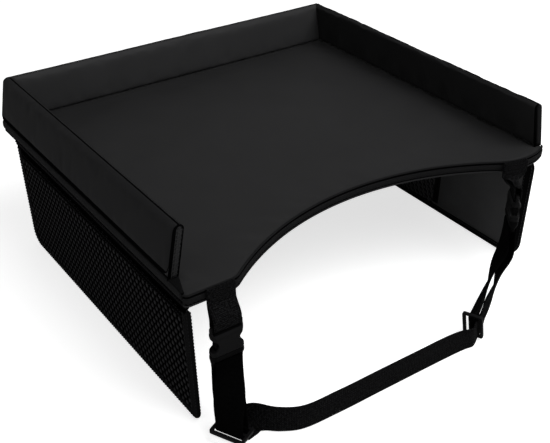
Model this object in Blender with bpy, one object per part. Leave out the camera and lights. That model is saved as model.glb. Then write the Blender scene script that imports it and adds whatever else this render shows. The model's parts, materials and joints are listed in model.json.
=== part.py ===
# Car seat tray table: a padded lap tray with upright walls, two folding side
# wings with net pockets, and a waist strap on two side release buckles.
# Metres, +Z up. The origin is the centre of the play surface, which is z = 0.
# +X is the tray's right side and the belly cut-out faces -Y.
import math

import bpy
import bmesh
from mathutils import Matrix, Vector
from mathutils.geometry import tessellate_polygon

for old in list(bpy.data.objects):
    bpy.data.objects.remove(old, do_unlink=True)

# Shared clearances
GAP = 0.0003
OVERRUN = 0.0020
LEAST_RADIUS = 0.0005
SHARP_ANGLE = math.radians(35)

# Tray board: the skins are drawn in at their border, where the bands hold them
TRAY_WIDTH = 0.400
TRAY_DEPTH = 0.360
TRAY_CORNER = 0.0040
SKIN = 0.0008
SKIN_DRAW = 0.0005
SKIN_ROLL = 0.0020
SKIN_ROLL_SHARE = 0.4
FOAM = 0.0050
CORE = 0.0045
BOARD_HEIGHT = SKIN + GAP + FOAM + GAP + CORE + GAP + SKIN
FRONT = -TRAY_DEPTH / 2

# Edge bands: a piping along the top over a stitched groove
BAND = 0.0010
PIPING = 0.0018
GROOVE = 0.0004

# Belly cut-out: an arc between two rounded ears, the right one broad and set back
CUT_OFFSET = 0.0039
CUT_DEPTH = 0.0545
CUT_RADIUS_SHARE = 0.6393
CUT_RADIUS = TRAY_WIDTH * CUT_RADIUS_SHARE
CUT_Y = FRONT + CUT_DEPTH - CUT_RADIUS
CUT_STEPS = 22
EAR_RADIUS_SHARE = {"left": 0.045, "right": 0.150}
EAR_SETBACK = {"left": 0.0, "right": 0.0067}
EAR_STEPS = 5
CORNER_STEPS = 4

# Walls: a hollow fabric cover over a stiff board and a foam pad
WALL_HEIGHT = 0.0445
WALL_SKIN = 0.0010
WALL_BOARD = 0.0026
WALL_PAD = 0.0040
WALL_THICK = 2 * WALL_SKIN + WALL_BOARD + WALL_PAD + 3 * GAP
WALL_ARCH_STEPS = 8
SIDE_LEAN = 0.0080
BACK_LEAN = 0.0010
WALL_SETBACK = {"left": 0.0250, "right": 0.0170}

# Side wings, which hang from a tape under the board's side edges
WING_DROP = 0.1300
WING_LEAN = math.radians(2.1)
WING_PANEL = 0.0020
WING_NET = 0.0008
WING_LEG = 0.0006
WING_HALF = WING_PANEL / 2 + GAP + WING_NET
BINDING_WIDTH = 0.0095
BINDING_STEPS = 5
HINGE_INSET = 0.0040
TAPE = 0.0008
TAPE_WIDTH = 0.0120
WING_FRONT_INSET = {"left": 0.0020, "right": 0.0170}
WING_BACK_INSET = 0.0280
WING_TOP_RADIUS = {"left": 0.0030, "right": 0.0100}
WING_FRONT_RADIUS = {"left": 0.0080, "right": 0.0200}
WING_BACK_RADIUS = 0.0150
HEM_DROP = 0.0060
HEM_WIDTH = 0.0080
SEAM_PLACE = 0.1170
SEAM_WIDTH = 0.0080
WELT_SIDES = 12

# Net: staggered diamond gaps
NET_COLUMNS = 18
NET_ROWS = 5
NET_MARGIN = 0.0020
NET_GAP_SHARE = 0.80

# Webbing
WEB_WIDTH = 0.0250
WEB = 0.0014
WEB_SIDE = 0.0004
BAR_HALF = 0.0015
BAR_CORNER_SHARE = 1.5
WRAP = BAR_HALF * BAR_CORNER_SHARE + GAP + WEB / 2
STACK = (WEB + GAP) / 2
WRAP_STEPS = 6

# Tabs and buckles
TAB_INSET = {"left": 0.0300, "right": 0.0445}
TAB_TWIST = {"left": 0.0, "right": math.radians(52)}
CHAIN_REACH = {"left": 0.0070, "right": 0.0058}
RECEIVER_DROP_SHARE = {"left": 0.2577, "right": 0.2308}
FRAME_SIDE = 0.0018
BUCKLE_HALF = WEB_WIDTH / 2 + WEB_SIDE + FRAME_SIDE
BUCKLE_THICK = 0.0090
BUCKLE_ROUND_SHARE = 0.70
BUCKLE_ROUND_STEPS = 3
RECEIVER_LENGTH = 0.0255
RECEIVER_SLOT = 0.0042
RECEIVER_SHARES = (
    (0.00, 0.93, 0.00), (0.06, 1.00, 0.00), (0.20, 1.00, 0.00), (0.26, 1.00, 0.45),
    (0.34, 0.97, 0.85), (0.44, 0.93, 1.00), (0.62, 0.93, 1.00), (0.82, 0.98, 1.00),
    (0.96, 1.00, 1.00), (1.00, 0.98, 0.88),
)
SOCKET_SIDE = 0.0032
SOCKET_HALF = BUCKLE_HALF - SOCKET_SIDE
SOCKET_THICK = 0.0056
SOCKET_DEPTH = 0.0165
WINDOW_HEIGHT = 0.0110
WINDOW_DEPTH = 0.0058
WINDOW_FROM_MOUTH = 0.0042
WINDOW_SIDES = 24
PLUG_THICK = SOCKET_THICK - 2 * GAP
PLUG_BASE = 0.0045
PLUG_SLOT = 0.0042
PLUG_TIP = 0.0015
PLUG_REACH = SOCKET_DEPTH - PLUG_TIP
PLUG_SHARES = (
    (0.00, 0.98, 0.88), (0.05, 1.00, 1.00), (0.30, 1.00, 1.00), (0.42, 0.99, 0.70),
    (0.70, 0.97, 0.00), (0.90, 0.97, 0.00), (1.00, 0.90, 0.00),
)
PRONG_WIDTH = 0.0030
PRONG_NECK = 0.0022
PRONG_BARB = 0.0070
TONGUE_HALF = 0.0032
TONGUE_REACH_SHARE = 0.8
TONGUE_TAPER_SHARE = 0.8
TONGUE_TIP_SHARE = 0.5

# Sliders on the webbing, and the waist strap between them
SLIDER_THICK = 0.0026
SLIDER_SIDE = 0.0026
SLIDER_BAR = 0.0028
SLIDER_SLOT = 0.0052
SLIDER_CORNER = 0.0025
SLIDER_EDGE = 0.0004
SLIDER_WIDTH = WEB_WIDTH + 2 * WEB_SIDE + 2 * SLIDER_SIDE
SLIDER_HEIGHT = 2 * BAR_HALF + 2 * SLIDER_SLOT + 2 * SLIDER_BAR
SLIDER_SHARES = {"left": (-0.2527, -0.4754), "right": (-1.958, -1.068)}
SLIDER_LIFT_SHARE = {"left": 0.44, "right": 0.66}
SLIDER_TURN = {"left": Vector((0.447, -0.894, 0)), "right": Vector((0.33, 0.14, -0.93))}
SLIDER_WAY = {"left": Vector((0, 0, 1)), "right": Vector((0.869, 0.375, 0.322))}
SLIDER_EXIT = {"left": 1, "right": -1}
TAIL = 0.0060
TAIL_BLEND = 0.0140
EXIT_DROP = 0.0015
EXIT_LEAD = 0.0012
EXIT_RUN = {"left": 0.0015, "right": 0.0080}
LEAD_SHARES = ((0.75, 0.25), (1.0, 1.0))
BAR_LEAD = 0.0036
LOOP_STEPS = 14
TURN_FROM_SHARE = 0.12
TURN_TO_SHARE = 0.80
STRAP_STEPS = 5
STRAP_REACH = 0.0540
STRAP_MIDDLE = -0.0500
STRAP_SHARES = {
    "left": ((0.08, 0.0, 0.30), (0.15, 0.25, 0.65), (0.23, 0.60, 0.90), (0.36, 0.92, 1.0),
             (0.64, 1.0, 1.0)),
    "right": ((0.12, 0.60, 0.60), (0.28, 0.95, 1.0), (0.60, 1.0, 1.0)),
}
SETTLE_STEPS = {"left": 1, "right": 8}
SETTLE_PASSES = 3


def material(name, colour, roughness, metallic=0.0):
    made = bpy.data.materials.new(name)
    made.use_nodes = True
    shader = made.node_tree.nodes["Principled BSDF"]
    shader.inputs["Base Color"].default_value = (*colour, 1.0)
    shader.inputs["Roughness"].default_value = roughness
    shader.inputs["Metallic"].default_value = metallic
    return made


COATED = material("coated_fabric", (0.022, 0.022, 0.023), 0.55)
OXFORD = material("oxford_fabric", (0.016, 0.016, 0.017), 0.80)
LINING = material("lining_fabric", (0.020, 0.020, 0.021), 0.85)
NET = material("net_fabric", (0.012, 0.012, 0.013), 0.75)
WEBBING = material("polyester_webbing", (0.010, 0.010, 0.011), 0.70)
MOULDING = material("acetal_plastic", (0.013, 0.013, 0.014), 0.40)
BOARD = material("polypropylene_board", (0.040, 0.040, 0.042), 0.50)
PADDING = material("polyethylene_foam", (0.100, 0.100, 0.105), 0.90)


def add_mesh(name, bm, surface, smooth=False):
    bmesh.ops.recalc_face_normals(bm, faces=bm.faces)
    mesh = bpy.data.meshes.new(name)
    bm.to_mesh(mesh)
    bm.free()
    mesh.materials.append(surface)
    obj = bpy.data.objects.new(name, mesh)
    bpy.context.collection.objects.link(obj)
    if smooth:
        mesh.shade_smooth()
        mesh.set_sharp_from_angle(angle=SHARP_ANGLE)
    return obj


def loft(name, rings, surface, smooth=False):
    """A closed solid through rings of equally many points, capped at both ends."""
    bm = bmesh.new()
    made = [[bm.verts.new(point) for point in ring] for ring in rings]
    count = len(rings[0])
    for low, high in zip(made, made[1:]):
        for i in range(count):
            j = (i + 1) % count
            bm.faces.new((low[i], low[j], high[j], high[i]))
    bm.faces.new(list(reversed(made[0])))
    bm.faces.new(made[-1])
    return add_mesh(name, bm, surface, smooth)


def plate(name, outline, holes, low, high, surface, place=None):
    """A flat sheet of the outline with its holes, from low to high along its normal."""
    place = place or (lambda u, v, w: Vector((u, v, w)))
    loops = [outline] + holes
    flat = [[Vector((u, v, 0.0)) for u, v in loop] for loop in loops]
    triangles = tessellate_polygon(flat)
    points = [point for loop in flat for point in loop]
    bm = bmesh.new()
    lower = [bm.verts.new(place(p.x, p.y, low)) for p in points]
    upper = [bm.verts.new(place(p.x, p.y, high)) for p in points]
    for a, b, c in triangles:
        bm.faces.new((lower[a], lower[b], lower[c]))
        bm.faces.new((upper[a], upper[c], upper[b]))
    first = 0
    for loop in flat:
        for i in range(len(loop)):
            a = first + i
            b = first + (i + 1) % len(loop)
            bm.faces.new((lower[a], lower[b], upper[b], upper[a]))
        first += len(loop)
    return add_mesh(name, bm, surface)


def arc(centre, radius, start, end, steps):
    turns = [start + (end - start) * i / steps for i in range(steps + 1)]
    return [(centre[0] + radius * math.cos(a), centre[1] + radius * math.sin(a)) for a in turns]


def rounded_rectangle(half_u, half_v, corner, steps):
    points = []
    for i, (su, sv) in enumerate(((1, 1), (-1, 1), (-1, -1), (1, -1))):
        middle = (su * (half_u - corner), sv * (half_v - corner))
        points += arc(middle, corner, i * math.pi / 2, (i + 1) * math.pi / 2, steps)
    return points


def tool(obj, size, body):
    """Makes a unit shape into a tool that works on the body and isn't shown."""
    obj.data.transform(Matrix.Diagonal((*size, 1)))
    obj.hide_render = True
    obj.display_type = "WIRE"
    obj.parent = body
    return obj


def cutter_box(centre, size, body):
    bpy.ops.mesh.primitive_cube_add(size=1, location=centre)
    return tool(bpy.context.active_object, size, body)


def combine(body, other, operation="DIFFERENCE", solver="EXACT"):
    step = body.modifiers.new(other.name, "BOOLEAN")
    step.operation = operation
    step.solver = solver
    step.object = other


def bevel(obj, width):
    step = obj.modifiers.new("edges", "BEVEL")
    step.width = width
    step.segments = 2
    step.limit_method = "ANGLE"
    step.angle_limit = SHARP_ANGLE


# Tray board outline


def ear(side):
    """The centre and radius of an ear's arc, which touches the cut-out's arc."""
    sign = -1 if side == "left" else 1
    radius = TRAY_WIDTH * EAR_RADIUS_SHARE[side]
    y = FRONT + EAR_SETBACK[side] + radius
    aside = math.sqrt((CUT_RADIUS + radius) ** 2 - (y - CUT_Y) ** 2)
    return (CUT_OFFSET + sign * aside, y), radius


def ear_front(x):
    """How far forward the right ear's arc reaches at x, and the way that it runs there."""
    centre, radius = ear("right")
    aside = x - centre[0]
    depth = math.sqrt(radius ** 2 - aside ** 2)
    return centre[1] - depth, Vector((depth, aside, 0)) / radius


def right_corner(inset):
    """The centre of the right front corner, between the ear's arc and the side, and its radius."""
    centre, radius = ear("right")
    corner = max(TRAY_CORNER - inset, LEAST_RADIUS)
    x = TRAY_WIDTH / 2 - inset - corner
    reach = radius - inset - corner
    return (x, centre[1] - math.sqrt(reach ** 2 - (x - centre[0]) ** 2)), corner


def front_edge(inset):
    """The front edge from the left side's corner to the right side's, moved in by inset."""
    half = TRAY_WIDTH / 2 - inset
    corner = max(TRAY_CORNER - inset, LEAST_RADIUS)
    down = -math.pi / 2
    up = math.pi / 2
    (left_x, left_y), left_radius = ear("left")
    (right_x, right_y), right_radius = ear("right")
    end, end_radius = right_corner(inset)
    left_turn = math.atan2(CUT_OFFSET - left_x, left_y - CUT_Y)
    right_turn = math.atan2(right_x - CUT_OFFSET, right_y - CUT_Y)
    past = math.atan2(end[0] - right_x, right_y - end[1])
    points = arc((-half + corner, FRONT + inset + corner), corner, math.pi, math.pi - down, CORNER_STEPS)
    points += arc((left_x, left_y), left_radius - inset, down, down + left_turn, EAR_STEPS)
    points += arc((CUT_OFFSET, CUT_Y), CUT_RADIUS + inset, up + left_turn, up - right_turn, CUT_STEPS)[1:-1]
    points += arc((right_x, right_y), right_radius - inset, down - right_turn, down + past, 2 * EAR_STEPS)
    return points + arc(end, end_radius, down + past, 0.0, CORNER_STEPS)[1:]


def rear_edge(inset, lift):
    """The right side, back and left side, from lift above the front corners."""
    half = TRAY_WIDTH / 2 - inset
    corner = max(TRAY_CORNER - inset, LEAST_RADIUS)
    back = TRAY_DEPTH / 2 - inset
    points = [(half, right_corner(0.0)[0][1] + lift)]
    points += arc((half - corner, back - corner), corner, 0.0, math.pi / 2, CORNER_STEPS)
    points += arc((-half + corner, back - corner), corner, math.pi / 2, math.pi, CORNER_STEPS)
    return points + [(-half, FRONT + TRAY_CORNER + lift)]


def board_outline(inset):
    return front_edge(inset) + rear_edge(inset, 0.0)[1:-1]


def make_skin(name, level, up, border, surface):
    """A skin whose flat middle stands proud of its border. Up is 1 on top and -1 below."""
    edge = BAND + GAP
    rings = [
        (edge, SKIN),
        (edge, SKIN_DRAW),
        (edge + SKIN_ROLL, SKIN_DRAW * SKIN_ROLL_SHARE),
        (border, 0.0),
    ]
    rings = [
        [Vector((x, y, level - up * depth)) for x, y in board_outline(inset)]
        for inset, depth in rings
    ]
    loft(name, rings, surface, smooth=True)


def make_band(name, edge):
    """A piping, a stitched groove and a band with a rounded lower edge."""
    low = -BOARD_HEIGHT
    profile = [
        (BAND, 0.0),
        (BAND / 2, 0.0),
        (0.0, -BAND / 2),
        (0.0, -PIPING),
        (GROOVE, -PIPING - GROOVE),
        (0.0, -PIPING - 2 * GROOVE),
        (0.0, low + BAND / 2),
        (BAND / 2, low),
        (BAND, low),
    ]
    lines = [[Vector((x, y, level)) for x, y in edge(inset)] for inset, level in profile]
    loft(name, [list(ring) for ring in zip(*lines)], OXFORD, smooth=True)


def make_board():
    inner = board_outline(BAND + GAP)
    foam_top = -SKIN - GAP
    core_top = foam_top - FOAM - GAP
    make_skin("play_surface_skin", 0.0, 1, WALL_THICK + SKIN_ROLL, COATED)
    plate("foam_pad", inner, [], foam_top - FOAM, foam_top, PADDING)
    plate("core_board", inner, [], core_top - CORE, core_top, BOARD)
    make_skin("underside_skin", -BOARD_HEIGHT, -1, BAND + TAPE_WIDTH + SKIN_ROLL, LINING)
    make_band("front_lip_band", front_edge)
    make_band("rim_band", lambda inset: rear_edge(inset, GAP))


# Walls


def wall_point(side, inward, height, along):
    """A point of a wall: inward from the outer face, up, and along the wall."""
    rise = height / WALL_HEIGHT
    if side == "back":
        return Vector((along, TRAY_DEPTH / 2 - inward - BACK_LEAN * rise, height))
    sign = -1 if side == "left" else 1
    return Vector((sign * (TRAY_WIDTH / 2 - inward - SIDE_LEAN * rise), along, height))


def wall_profile(inset):
    """One side, the round top and the other side of a wall, moved in by inset."""
    radius = WALL_THICK / 2 - inset
    spring = WALL_HEIGHT - WALL_THICK / 2
    turn = arc((WALL_THICK / 2, spring), radius, math.pi, 0.0, WALL_ARCH_STEPS)
    return [(inset, GAP)] + turn + [(WALL_THICK - inset, GAP)]


def wall_front(side):
    return FRONT + WALL_SETBACK[side]


def mitre_y(inward, height):
    return TRAY_DEPTH / 2 - inward - BACK_LEAN * height / WALL_HEIGHT - GAP


def mitre_x(inward, height):
    return TRAY_WIDTH / 2 - inward - SIDE_LEAN * height / WALL_HEIGHT - GAP


def wall_ends(side, inward, height):
    if side == "back":
        reach = mitre_x(inward, height)
        return -reach, reach
    return wall_front(side) + WALL_SKIN + GAP, mitre_y(inward, height)


def make_wall_cover(side):
    profile = wall_profile(0.0) + list(reversed(wall_profile(WALL_SKIN)))
    rings = [
        [wall_point(side, s, h, wall_ends(side, s, h)[end]) for s, h in profile]
        for end in (0, 1)
    ]
    loft("wall_cover_" + side, rings, COATED, smooth=True)


def make_wall_slab(name, side, inner, thick, surface):
    low = 2 * GAP
    high = WALL_HEIGHT - WALL_THICK / 2
    clear = WALL_THICK + GAP
    if side == "back":
        start = -TRAY_WIDTH / 2 + SIDE_LEAN + clear
        end = -start
    else:
        start = wall_front(side) + WALL_SKIN + 2 * GAP
        end = TRAY_DEPTH / 2 - BACK_LEAN - clear
    corners = [(inner, low), (inner, high), (inner + thick, high), (inner + thick, low)]
    rings = [[wall_point(side, s, h, along) for s, h in corners] for along in (start, end)]
    loft(name + "_" + side, rings, surface)


def make_wall_gusset(side):
    start = wall_front(side)
    profile = wall_profile(0.0)
    rings = [[wall_point(side, s, h, y) for s, h in profile] for y in (start, start + WALL_SKIN)]
    loft("wall_end_gusset_" + side, rings, OXFORD)


def make_walls():
    board_place = WALL_SKIN + GAP
    pad_place = board_place + WALL_BOARD + GAP
    for side in ("left", "back", "right"):
        make_wall_cover(side)
        make_wall_slab("wall_board", side, board_place, WALL_BOARD, BOARD)
        make_wall_slab("wall_pad", side, pad_place, WALL_PAD, PADDING)
    for side in ("left", "right"):
        make_wall_gusset(side)


# Wings

AXIS_Z = -(BOARD_HEIGHT + GAP + TAPE + GAP + WING_HALF)
WING_TOP = WING_HALF + GAP
WING_LENGTH = (WING_DROP + AXIS_Z - WING_HALF * math.sin(WING_LEAN)) / math.cos(WING_LEAN)


def wing_span(side):
    return TRAY_DEPTH - WING_FRONT_INSET[side] - WING_BACK_INSET


def wing_edge(side, inset):
    """The front, lower and back edges of a wing, from its front top corner round."""
    span = wing_span(side)
    low = WING_LENGTH - inset
    top = max(WING_TOP_RADIUS[side] - inset, LEAST_RADIUS)
    front = max(WING_FRONT_RADIUS[side] - inset, LEAST_RADIUS)
    back = max(WING_BACK_RADIUS - inset, LEAST_RADIUS)
    quarter = math.pi / 2
    half = math.pi
    points = arc((inset + top, WING_TOP + top), top, 3 * quarter, half, BINDING_STEPS)
    points += arc((inset + front, low - front), front, half, quarter, BINDING_STEPS)
    points += arc((span - inset - back, low - back), back, quarter, 0.0, BINDING_STEPS)
    return points + [(span - inset, WING_TOP)]


def wing_frame(side):
    """An empty on the hinge axis, turned by the wing's lean, that carries its pieces."""
    sign = -1 if side == "left" else 1
    hinge = bpy.data.objects.new("wing_hinge_" + side, None)
    hinge.location = (sign * (TRAY_WIDTH / 2 - HINGE_INSET), FRONT + WING_FRONT_INSET[side], AXIS_Z)
    hinge.rotation_euler = (0.0, sign * WING_LEAN, 0.0)
    bpy.context.collection.objects.link(hinge)
    return hinge, lambda u, v, w: Vector((-sign * w, u, -v))


def make_binding(side, place):
    face = WING_PANEL / 2 + GAP
    outer = face + WING_LEG
    profile = [
        (BINDING_WIDTH, outer),
        (0.0, outer),
        (0.0, -outer),
        (BINDING_WIDTH, -outer),
        (BINDING_WIDTH, -face),
        (WING_LEG, -face),
        (WING_LEG, face),
        (BINDING_WIDTH, face),
    ]
    edges = [[(*point, level) for point in wing_edge(side, inset)] for inset, level in profile]
    rings = [[place(*point) for point in ring] for ring in zip(*edges)]
    return loft("wing_binding_" + side, rings, OXFORD)


def net_gaps(left, right, top, bottom):
    """Staggered diamonds in the box, each shrunk about its centre."""
    pitch_u = (right - left) / NET_COLUMNS
    pitch_v = (bottom - top) / NET_ROWS
    half_u = pitch_u / 2 * NET_GAP_SHARE
    half_v = pitch_v / 2 * NET_GAP_SHARE
    rows = [(j, 0) for j in range(NET_ROWS)] + [(j, 1) for j in range(NET_ROWS - 1)]
    gaps = []
    for j, odd in rows:
        v = top + (j + (odd + 1) / 2) * pitch_v
        for i in range(NET_COLUMNS - odd):
            u = left + (i + (odd + 1) / 2) * pitch_u
            gaps.append([(u - half_u, v), (u, v - half_v), (u + half_u, v), (u, v + half_v)])
    return gaps


def make_net(side, place):
    top = WING_TOP + HEM_DROP + HEM_WIDTH + GAP
    inset = BINDING_WIDTH + GAP
    edge = wing_edge(side, inset)[BINDING_STEPS + 1:-1]
    span = wing_span(side)
    outline = [(inset, top)] + edge + [(span - inset, top)]
    margin = inset + NET_MARGIN
    low = WING_LENGTH - margin
    gaps = net_gaps(margin, span - margin, top + NET_MARGIN, low)
    corner = max(WING_FRONT_RADIUS[side] - inset, WING_BACK_RADIUS - inset)
    kept = [gap for gap in gaps if clear_of_corners(gap, span, inset, corner)]
    face = -(WING_PANEL / 2 + GAP)
    return plate("wing_net_" + side, outline, kept, face - WING_NET, face, NET, place)


def clear_of_corners(gap, span, inset, corner):
    """Whether a gap stays inside both rounded lower corners of the net."""
    low = WING_LENGTH - inset
    for u, v in gap:
        side = min(u - inset, span - inset - u)
        reach = max(corner - side, 0.0)
        drop = max(v - (low - corner), 0.0)
        if math.hypot(reach, drop) > corner - NET_MARGIN / 2:
            return False
    return True


def rectangle(left, right, top, bottom):
    return [(left, top), (left, bottom), (right, bottom), (right, top)]


def make_wing(side):
    hinge, place = wing_frame(side)
    span = wing_span(side)
    face = WING_PANEL / 2 + GAP
    inner = BINDING_WIDTH + GAP
    low = WING_LENGTH - inner
    seam_end = SEAM_PLACE + SEAM_WIDTH
    hem_top = WING_TOP + HEM_DROP
    mesh_top = hem_top + GAP
    pieces = [
        plate("wing_panel_" + side, wing_edge(side, WING_LEG + GAP), [], -WING_PANEL / 2,
              WING_PANEL / 2, LINING, place),
        make_binding(side, place),
        make_net(side, place),
        plate("wing_hem_" + side, rectangle(inner, span - inner, hem_top, hem_top + HEM_WIDTH),
              [], -face - WING_NET, -face, OXFORD, place),
        plate("wing_seam_" + side, rectangle(SEAM_PLACE, seam_end, WING_TOP, low),
              [], face, face + WING_LEG, OXFORD, place),
        plate("wing_inner_mesh_" + side,
              rectangle(seam_end + GAP, span - inner - WING_BACK_RADIUS / 2, mesh_top, low),
              [], face, face + WING_LEG, NET, place),
        make_welt(side, place),
    ]
    for piece in pieces:
        piece.parent = hinge


def make_welt(side, place):
    """The round seam that the wing turns on, centred on the hinge axis."""
    turns = [2 * math.pi * i / WELT_SIDES for i in range(WELT_SIDES)]
    ends = (WING_TOP_RADIUS[side] + GAP, wing_span(side))
    rings = [
        [place(u, WING_HALF * math.sin(a), WING_HALF * math.cos(a)) for a in turns] for u in ends
    ]
    return loft("wing_welt_" + side, rings, OXFORD, smooth=True)


def make_hinge_tape(side):
    sign = -1 if side == "left" else 1
    outer = sign * (TRAY_WIDTH / 2 - BAND)
    inner = sign * (TRAY_WIDTH / 2 - BAND - TAPE_WIDTH)
    start = FRONT + WING_FRONT_INSET[side]
    high = -BOARD_HEIGHT - GAP
    outline = rectangle(outer, inner, start, start + wing_span(side))
    plate("hinge_tape_" + side, outline, [], high - TAPE, high, OXFORD)


# Webbing


def strip_frame(centres, widths, i):
    """The width direction and the normal of a strip at one of its stations."""
    last = len(centres) - 1
    ahead = (centres[min(i + 1, last)] - centres[max(i - 1, 0)]).normalized()
    across = (widths[i] - widths[i].project(ahead)).normalized()
    return across, ahead.cross(across)


def ribbon(name, centres, widths, surface=WEBBING):
    """A strip of webbing through the centres, each with its own width direction."""
    rings = []
    for i, centre in enumerate(centres):
        across, normal = strip_frame(centres, widths, i)
        side = across * (WEB_WIDTH / 2)
        thick = normal * (WEB / 2)
        rings.append([centre - side - thick, centre + side - thick,
                      centre + side + thick, centre - side + thick])
    return loft(name, rings, surface, smooth=True)


def bezier(points, t):
    a, b, c, d = points
    s = 1 - t
    return a * s ** 3 + b * (3 * s * s * t) + c * (3 * s * t * t) + d * t ** 3


def smooth_share(share):
    share = min(max(share, 0.0), 1.0)
    return share * share * (3 - 2 * share)


def webbing_axis(start, end, start_way, end_way, start_across, end_across):
    """Stations of (centre, way, across, normal) along a twisting run of webbing."""
    reach = (end - start).length / 3
    points = (start, start + start_way * reach, end - end_way * reach, end)
    stations = []
    for i in range(LOOP_STEPS + 1):
        t = i / LOOP_STEPS
        step = 1 / (4 * LOOP_STEPS)
        way = bezier(points, min(t + step, 1)) - bezier(points, max(t - step, 0))
        way.normalize()
        turned = (t - TURN_FROM_SHARE) / (TURN_TO_SHARE - TURN_FROM_SHARE)
        across = start_across.lerp(end_across, smooth_share(turned))
        across = (across - across.project(way)).normalized()
        stations.append((bezier(points, t), way, across, way.cross(across)))
    return stations


def wrap(station, sign, steps=WRAP_STEPS):
    """A half turn round a bar at the station, from its sign side to the other."""
    centre, way, across, normal = station
    turns = [math.pi * i / steps for i in range(1, steps)]
    return [centre + normal * (sign * WRAP * math.cos(a)) + way * (WRAP * math.sin(a)) for a in turns]


def tab_seat(side):
    """Where a tab's middle meets the lip's upper edge, and the way that the lip runs there."""
    if side == "left":
        return Vector((-TRAY_WIDTH / 2 + TAB_INSET[side], FRONT, 0)), Vector((1, 0, 0))
    x = TRAY_WIDTH / 2 - TAB_INSET[side]
    y, level = ear_front(x)
    return Vector((x, y, 0)), level


def chain_place(side):
    seat, _ = tab_seat(side)
    return seat - Vector((0, CHAIN_REACH[side], WING_DROP * RECEIVER_DROP_SHARE[side]))


def chain_across(side):
    return Vector((math.cos(TAB_TWIST[side]), math.sin(TAB_TWIST[side]), 0))


def make_tab(side):
    """A doubled tab, sewn to the lip and folded round the receiver's bar."""
    down = Vector((0, 0, -1))
    bar = chain_place(side)
    square = chain_across(side)
    seat, level = tab_seat(side)
    seat += down.cross(level) * (GAP + WEB / 2 + STACK)
    top = seat + down * GAP
    sewn = seat + down * (BOARD_HEIGHT + GAP)
    run = webbing_axis(sewn, bar - down * BAR_LEAD, down, down, level, square)
    stations = [(top, down, level, run[0][3])] + run + [(bar, down, square, down.cross(square))]
    shares = [0.0] + [i / LOOP_STEPS for i in range(LOOP_STEPS + 1)] + [1.0]
    spread = [STACK + (WRAP - STACK) * smooth_share(share) for share in shares]
    out = [s[0] + s[3] * h for s, h in zip(stations, spread)]
    back = [s[0] - s[3] * h for s, h in zip(stations, spread)]
    turn = wrap(stations[-1], 1)
    across = [s[2] for s in stations]
    widths = across + [across[-1]] * len(turn) + list(reversed(across))
    ribbon("webbing_tab_" + side, out + turn + list(reversed(back)), widths)


def plug_bar(side):
    drop = RECEIVER_LENGTH + GAP + PLUG_BASE + PLUG_SLOT + BAR_HALF
    return chain_place(side) - Vector((0, 0, drop))


def slider_place(side):
    """The slider's centre, drawn aside and forward in proportion to its drop."""
    bar = plug_bar(side)
    drop = bar.z + WING_DROP - WEB_WIDTH * SLIDER_LIFT_SHARE[side]
    aside, forward = SLIDER_SHARES[side]
    return bar + Vector((aside * drop, forward * drop, -drop))


def loop_stations(side):
    """Stations from the slider's bar to the plug's bar, straight at both bars."""
    low = slider_place(side)
    high = plug_bar(side)
    up = Vector((0, 0, 1))
    way = SLIDER_WAY[side].normalized()
    turned = SLIDER_TURN[side]
    across = (turned - turned.project(way)).normalized()
    square = chain_across(side)
    run = webbing_axis(low + way * BAR_LEAD, high - up * BAR_LEAD, way, up, across, square)
    return [(low, way, across, way.cross(across))] + run + [(high, up, square, up.cross(square))]


def make_loop(side):
    """The adjustable loop: from below the slider, round the plug's bar and back."""
    stations = loop_stations(side)
    exit_side = SLIDER_EXIT[side]
    centre, way, across, normal = stations[0]
    outer = WRAP + WEB + GAP
    start = centre - way * (SLIDER_THICK / 2 + EXIT_DROP) + normal * (exit_side * outer)
    up_run = [start]
    for point, _, _, side_way in stations:
        far = ((point - centre).length - TAIL) / TAIL_BLEND
        offset = outer + (WRAP - outer) * smooth_share(far)
        up_run.append(point + side_way * (exit_side * offset))
    over = wrap(stations[-1], exit_side)
    down_run = [s[0] - s[3] * (exit_side * WRAP) for s in reversed(stations)]
    lower = (centre, -way, across, normal)
    under = wrap(lower, -exit_side)
    tail = [centre + normal * (exit_side * WRAP), centre + way * TAIL + normal * (exit_side * WRAP)]
    turns = [s[2] for s in stations]
    widths = [across] + turns + [turns[-1]] * len(over) + list(reversed(turns))
    widths += [across] * (len(under) + len(tail))
    ribbon("webbing_loop_" + side, up_run + over + down_run + under + tail, widths)


def strap_exit(side):
    centre, way, across, normal = loop_stations(side)[0]
    outer = WRAP + WEB + GAP
    below = SLIDER_THICK / 2 + EXIT_DROP + GAP
    return centre - way * below + normal * (SLIDER_EXIT[side] * outer), -way, across


def slopes(values, times):
    """The slope at each value, from the values beside it."""
    steps = [(b - a) / (u - t) for a, b, t, u in zip(values, values[1:], times, times[1:])]
    out = [steps[0]]
    for i in range(1, len(steps)):
        before = times[i] - times[i - 1]
        after = times[i + 1] - times[i]
        out.append((steps[i] * before + steps[i - 1] * after) / (before + after))
    return out + [steps[-1]]


def spline(points, values, steps):
    """The values along a smooth curve through the points, with steps between each two."""
    times = [0.0]
    for a, b in zip(points, points[1:]):
        times.append(times[-1] + math.sqrt((b - a).length))
    ways = slopes(values, times)
    out = []
    for i in range(len(points) - 1):
        span = times[i + 1] - times[i]
        for k in range(steps):
            t = k / steps
            rise = t * t * (3 - 2 * t)
            leave = t * (1 - t) ** 2 * span
            arrive = t * t * (t - 1) * span
            out.append(values[i] * (1 - rise) + values[i + 1] * rise
                       + ways[i] * leave + ways[i + 1] * arrive)
    return out + [values[-1].copy()]


def strip_reach(across, normal):
    """How far a strip's lowest corner lies below its centre."""
    return abs(across.z) * WEB_WIDTH / 2 + abs(normal.z) * WEB / 2


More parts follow.
